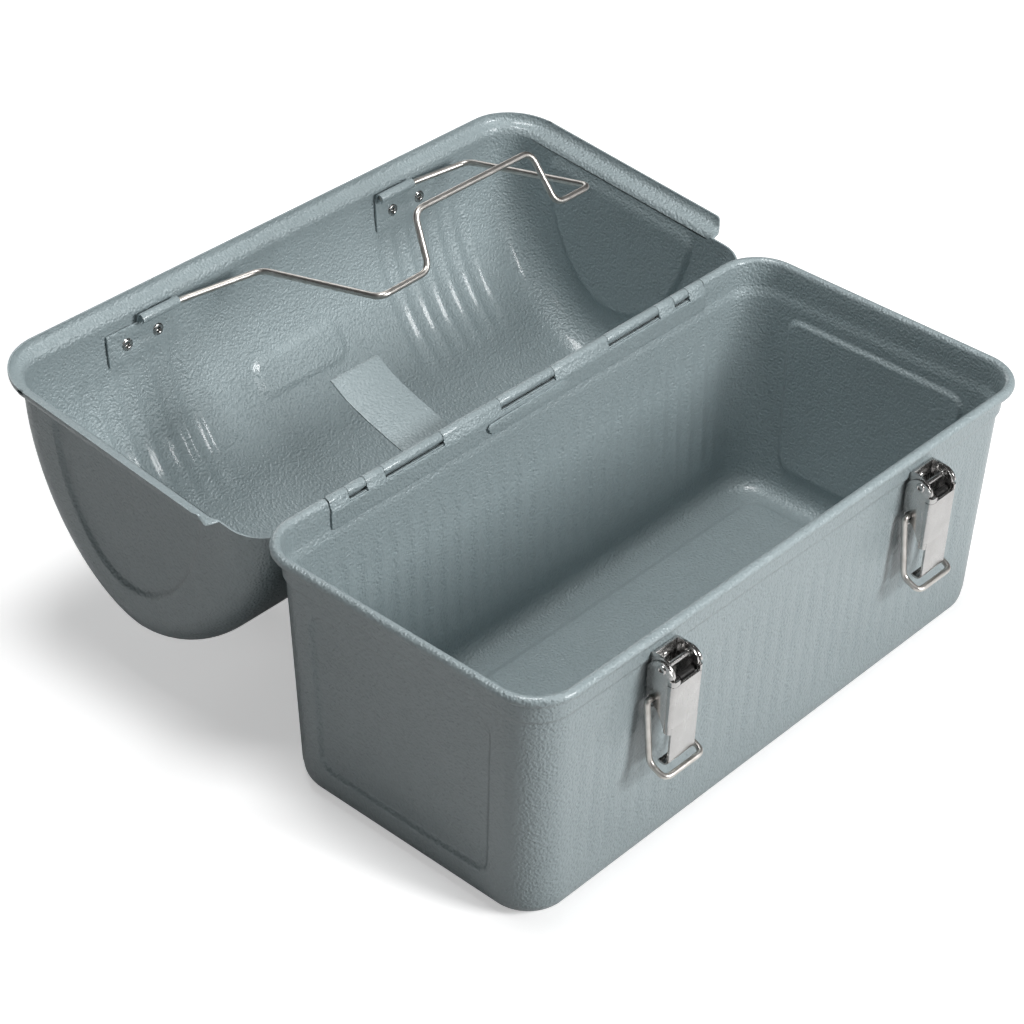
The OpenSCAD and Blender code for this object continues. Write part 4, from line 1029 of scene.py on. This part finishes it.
def handle():
    """Folding handle: a bent rod and a moulded grip with shallow finger waves."""
    pivot = np.array(JOINTS["handle_pivot"]["pos_m"], float) / MM
    lo, hi = (np.array(v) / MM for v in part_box("handle_grip"))
    out = (lo + hi) / 2 - pivot
    droop = math.atan2(out[2], out[1])
    place = lambda points: turn_x(points, droop, (0, 0, 0)) + pivot
    end = HANDLE_X + 22
    leg = [(HANDLE_X - 9.5, 0, 0), (end, 0, 0), (end, HANDLE_REACH, 0)]
    line = [(-x, y, z) for x, y, z in leg] + leg[::-1]
    parts = Parts().add(tube(round_corners(line, 8.0, 10), HANDLE_R, 28))
    add_mesh("handle_wire", place(parts.points), parts.faces, "handle", NICKEL, ("handle_rod",))
    half = hi[0]
    xs = np.linspace(-half + 1.4, half - 1.4, 73)
    wave = 5.55 + 0.38 * np.cos(xs / half * 4 * math.pi)
    rounded_end = [(half, 3.1), (half, 4.6), (half - 0.4, 5.3)]
    profile = [(-x, r) for x, r in rounded_end] + list(zip(xs, wave)) + rounded_end[::-1]
    points, faces = revolve(profile, 36)
    parts = Parts().add((np.array(points) + np.array((0, HANDLE_REACH, 0)), faces))
    add_mesh("grip_sleeve", place(parts.points), parts.faces, "handle", GRIP, ("handle_grip",),
             sharp=50)


# ---------- CAD nodes that keep their shape ----------


def finish_cad_nodes():
    """Gives every CAD node the finish of its material slot."""
    for row in frame["record"]["subparts"]:
        mesh = frame["nodes"][row["node"]].data
        mesh.materials.clear()
        mesh.materials.append(FINISH[row["material_slot"]])


# ---------- stage, lights and camera ----------


def add_floor():
    """Plane under the object."""
    mesh = bpy.data.meshes.new("floor")
    half = 4.0
    corners = [(-half, -half, 0), (half, -half, 0), (half, half, 0), (-half, half, 0)]
    mesh.from_pydata(corners, [], [(0, 1, 2, 3)])
    obj = bpy.data.objects.new("floor", mesh)
    bpy.context.scene.collection.objects.link(obj)
    mesh.materials.append(pale_floor())
    obj.location.z = cad_bounds[0][2] - 0.0003


def add_area(name, place, target, size, watts):
    """Square soft box that faces the target."""
    data = bpy.data.lights.new(name, "AREA")
    data.shape, data.size, data.energy = "SQUARE", size, watts
    obj = bpy.data.objects.new(name, data)
    obj.location = place
    obj.rotation_euler = (target - place).to_track_quat("-Z", "Y").to_euler()
    bpy.context.scene.collection.objects.link(obj)


# Each soft box: its direction from the object, its distance in metres, its size and its power.
STUDIO = (
    ("key_box", (0.23, -0.85, 0.44), 1.6, 0.5, 21.5),
    ("overhead_box", (-0.05, 0.05, 1.0), 1.7, 0.55, 18.5),
    ("left_box", (-0.78, -0.25, 0.55), 1.6, 0.4, 1.0),
    ("back_box", (0.45, 0.85, 0.3), 1.7, 0.8, 4),
)


def add_lights():
    """Soft boxes round the object in a dim world."""
    target = Vector((0, 0.05, 0.06))
    for name, direction, distance, size, watts in STUDIO:
        add_area(name, target + Vector(direction).normalized() * distance, target, size, watts)
    world = bpy.data.worlds.new("studio")
    world.use_nodes = True
    world.node_tree.nodes["Background"].inputs["Color"].default_value = (1, 1, 1, 1)
    world.node_tree.nodes["Background"].inputs["Strength"].default_value = 0.05
    bpy.context.scene.world = world


def add_camera():
    """Camera at the photo's place."""
    azimuth, elevation, roll = math.radians(-48.41), math.radians(35.34), math.radians(1.45)
    back = Vector((math.sin(azimuth) * math.cos(elevation), -math.cos(azimuth) * math.cos(elevation),
                   math.sin(elevation)))
    right = Vector((math.cos(azimuth), math.sin(azimuth), 0))
    up = back.cross(right)
    r = math.cos(roll) * right + math.sin(roll) * up
    u = -math.sin(roll) * right + math.cos(roll) * up
    data = bpy.data.cameras.new("photo_camera")
    data.sensor_width, data.lens = 36.0, 101.0
    data.shift_x, data.shift_y = -0.0088, -0.0228
    data.clip_end = 20
    obj = bpy.data.objects.new("photo_camera", data)
    turned = Matrix((r, u, back)).transposed().to_4x4()
    obj.matrix_world = Matrix.Translation(Vector((-0.7639, -0.6027, 0.7897))) @ turned
    bpy.context.scene.collection.objects.link(obj)
    bpy.context.scene.camera = obj


finish_cad_nodes()
base_tub()
lid_shell()
for latch_side in ("left", "right"):
    latch_x = JOINTS[f"latch_lever_{latch_side}_pivot"]["pos_m"][0] / MM
    latch_lever(latch_side, latch_x)
    latch_bracket(latch_side, latch_x)
    latch_pin(latch_side, latch_x)
    latch_spring(latch_side, latch_x)
    latch_bail(latch_side, latch_x)
base_hinge()
lid_hinge()
bottle_strap()
bottle_wire()
for clip_side, clip_sign in (("left", -1), ("right", 1)):
    wire_clip(clip_side, clip_sign)
    eyelets(clip_side, clip_sign)
    handle_bracket(clip_side, clip_sign)
handle()
solid_rivets()
add_floor()
add_lights()
add_camera()
bpy.context.scene.view_settings.view_transform = "Standard"
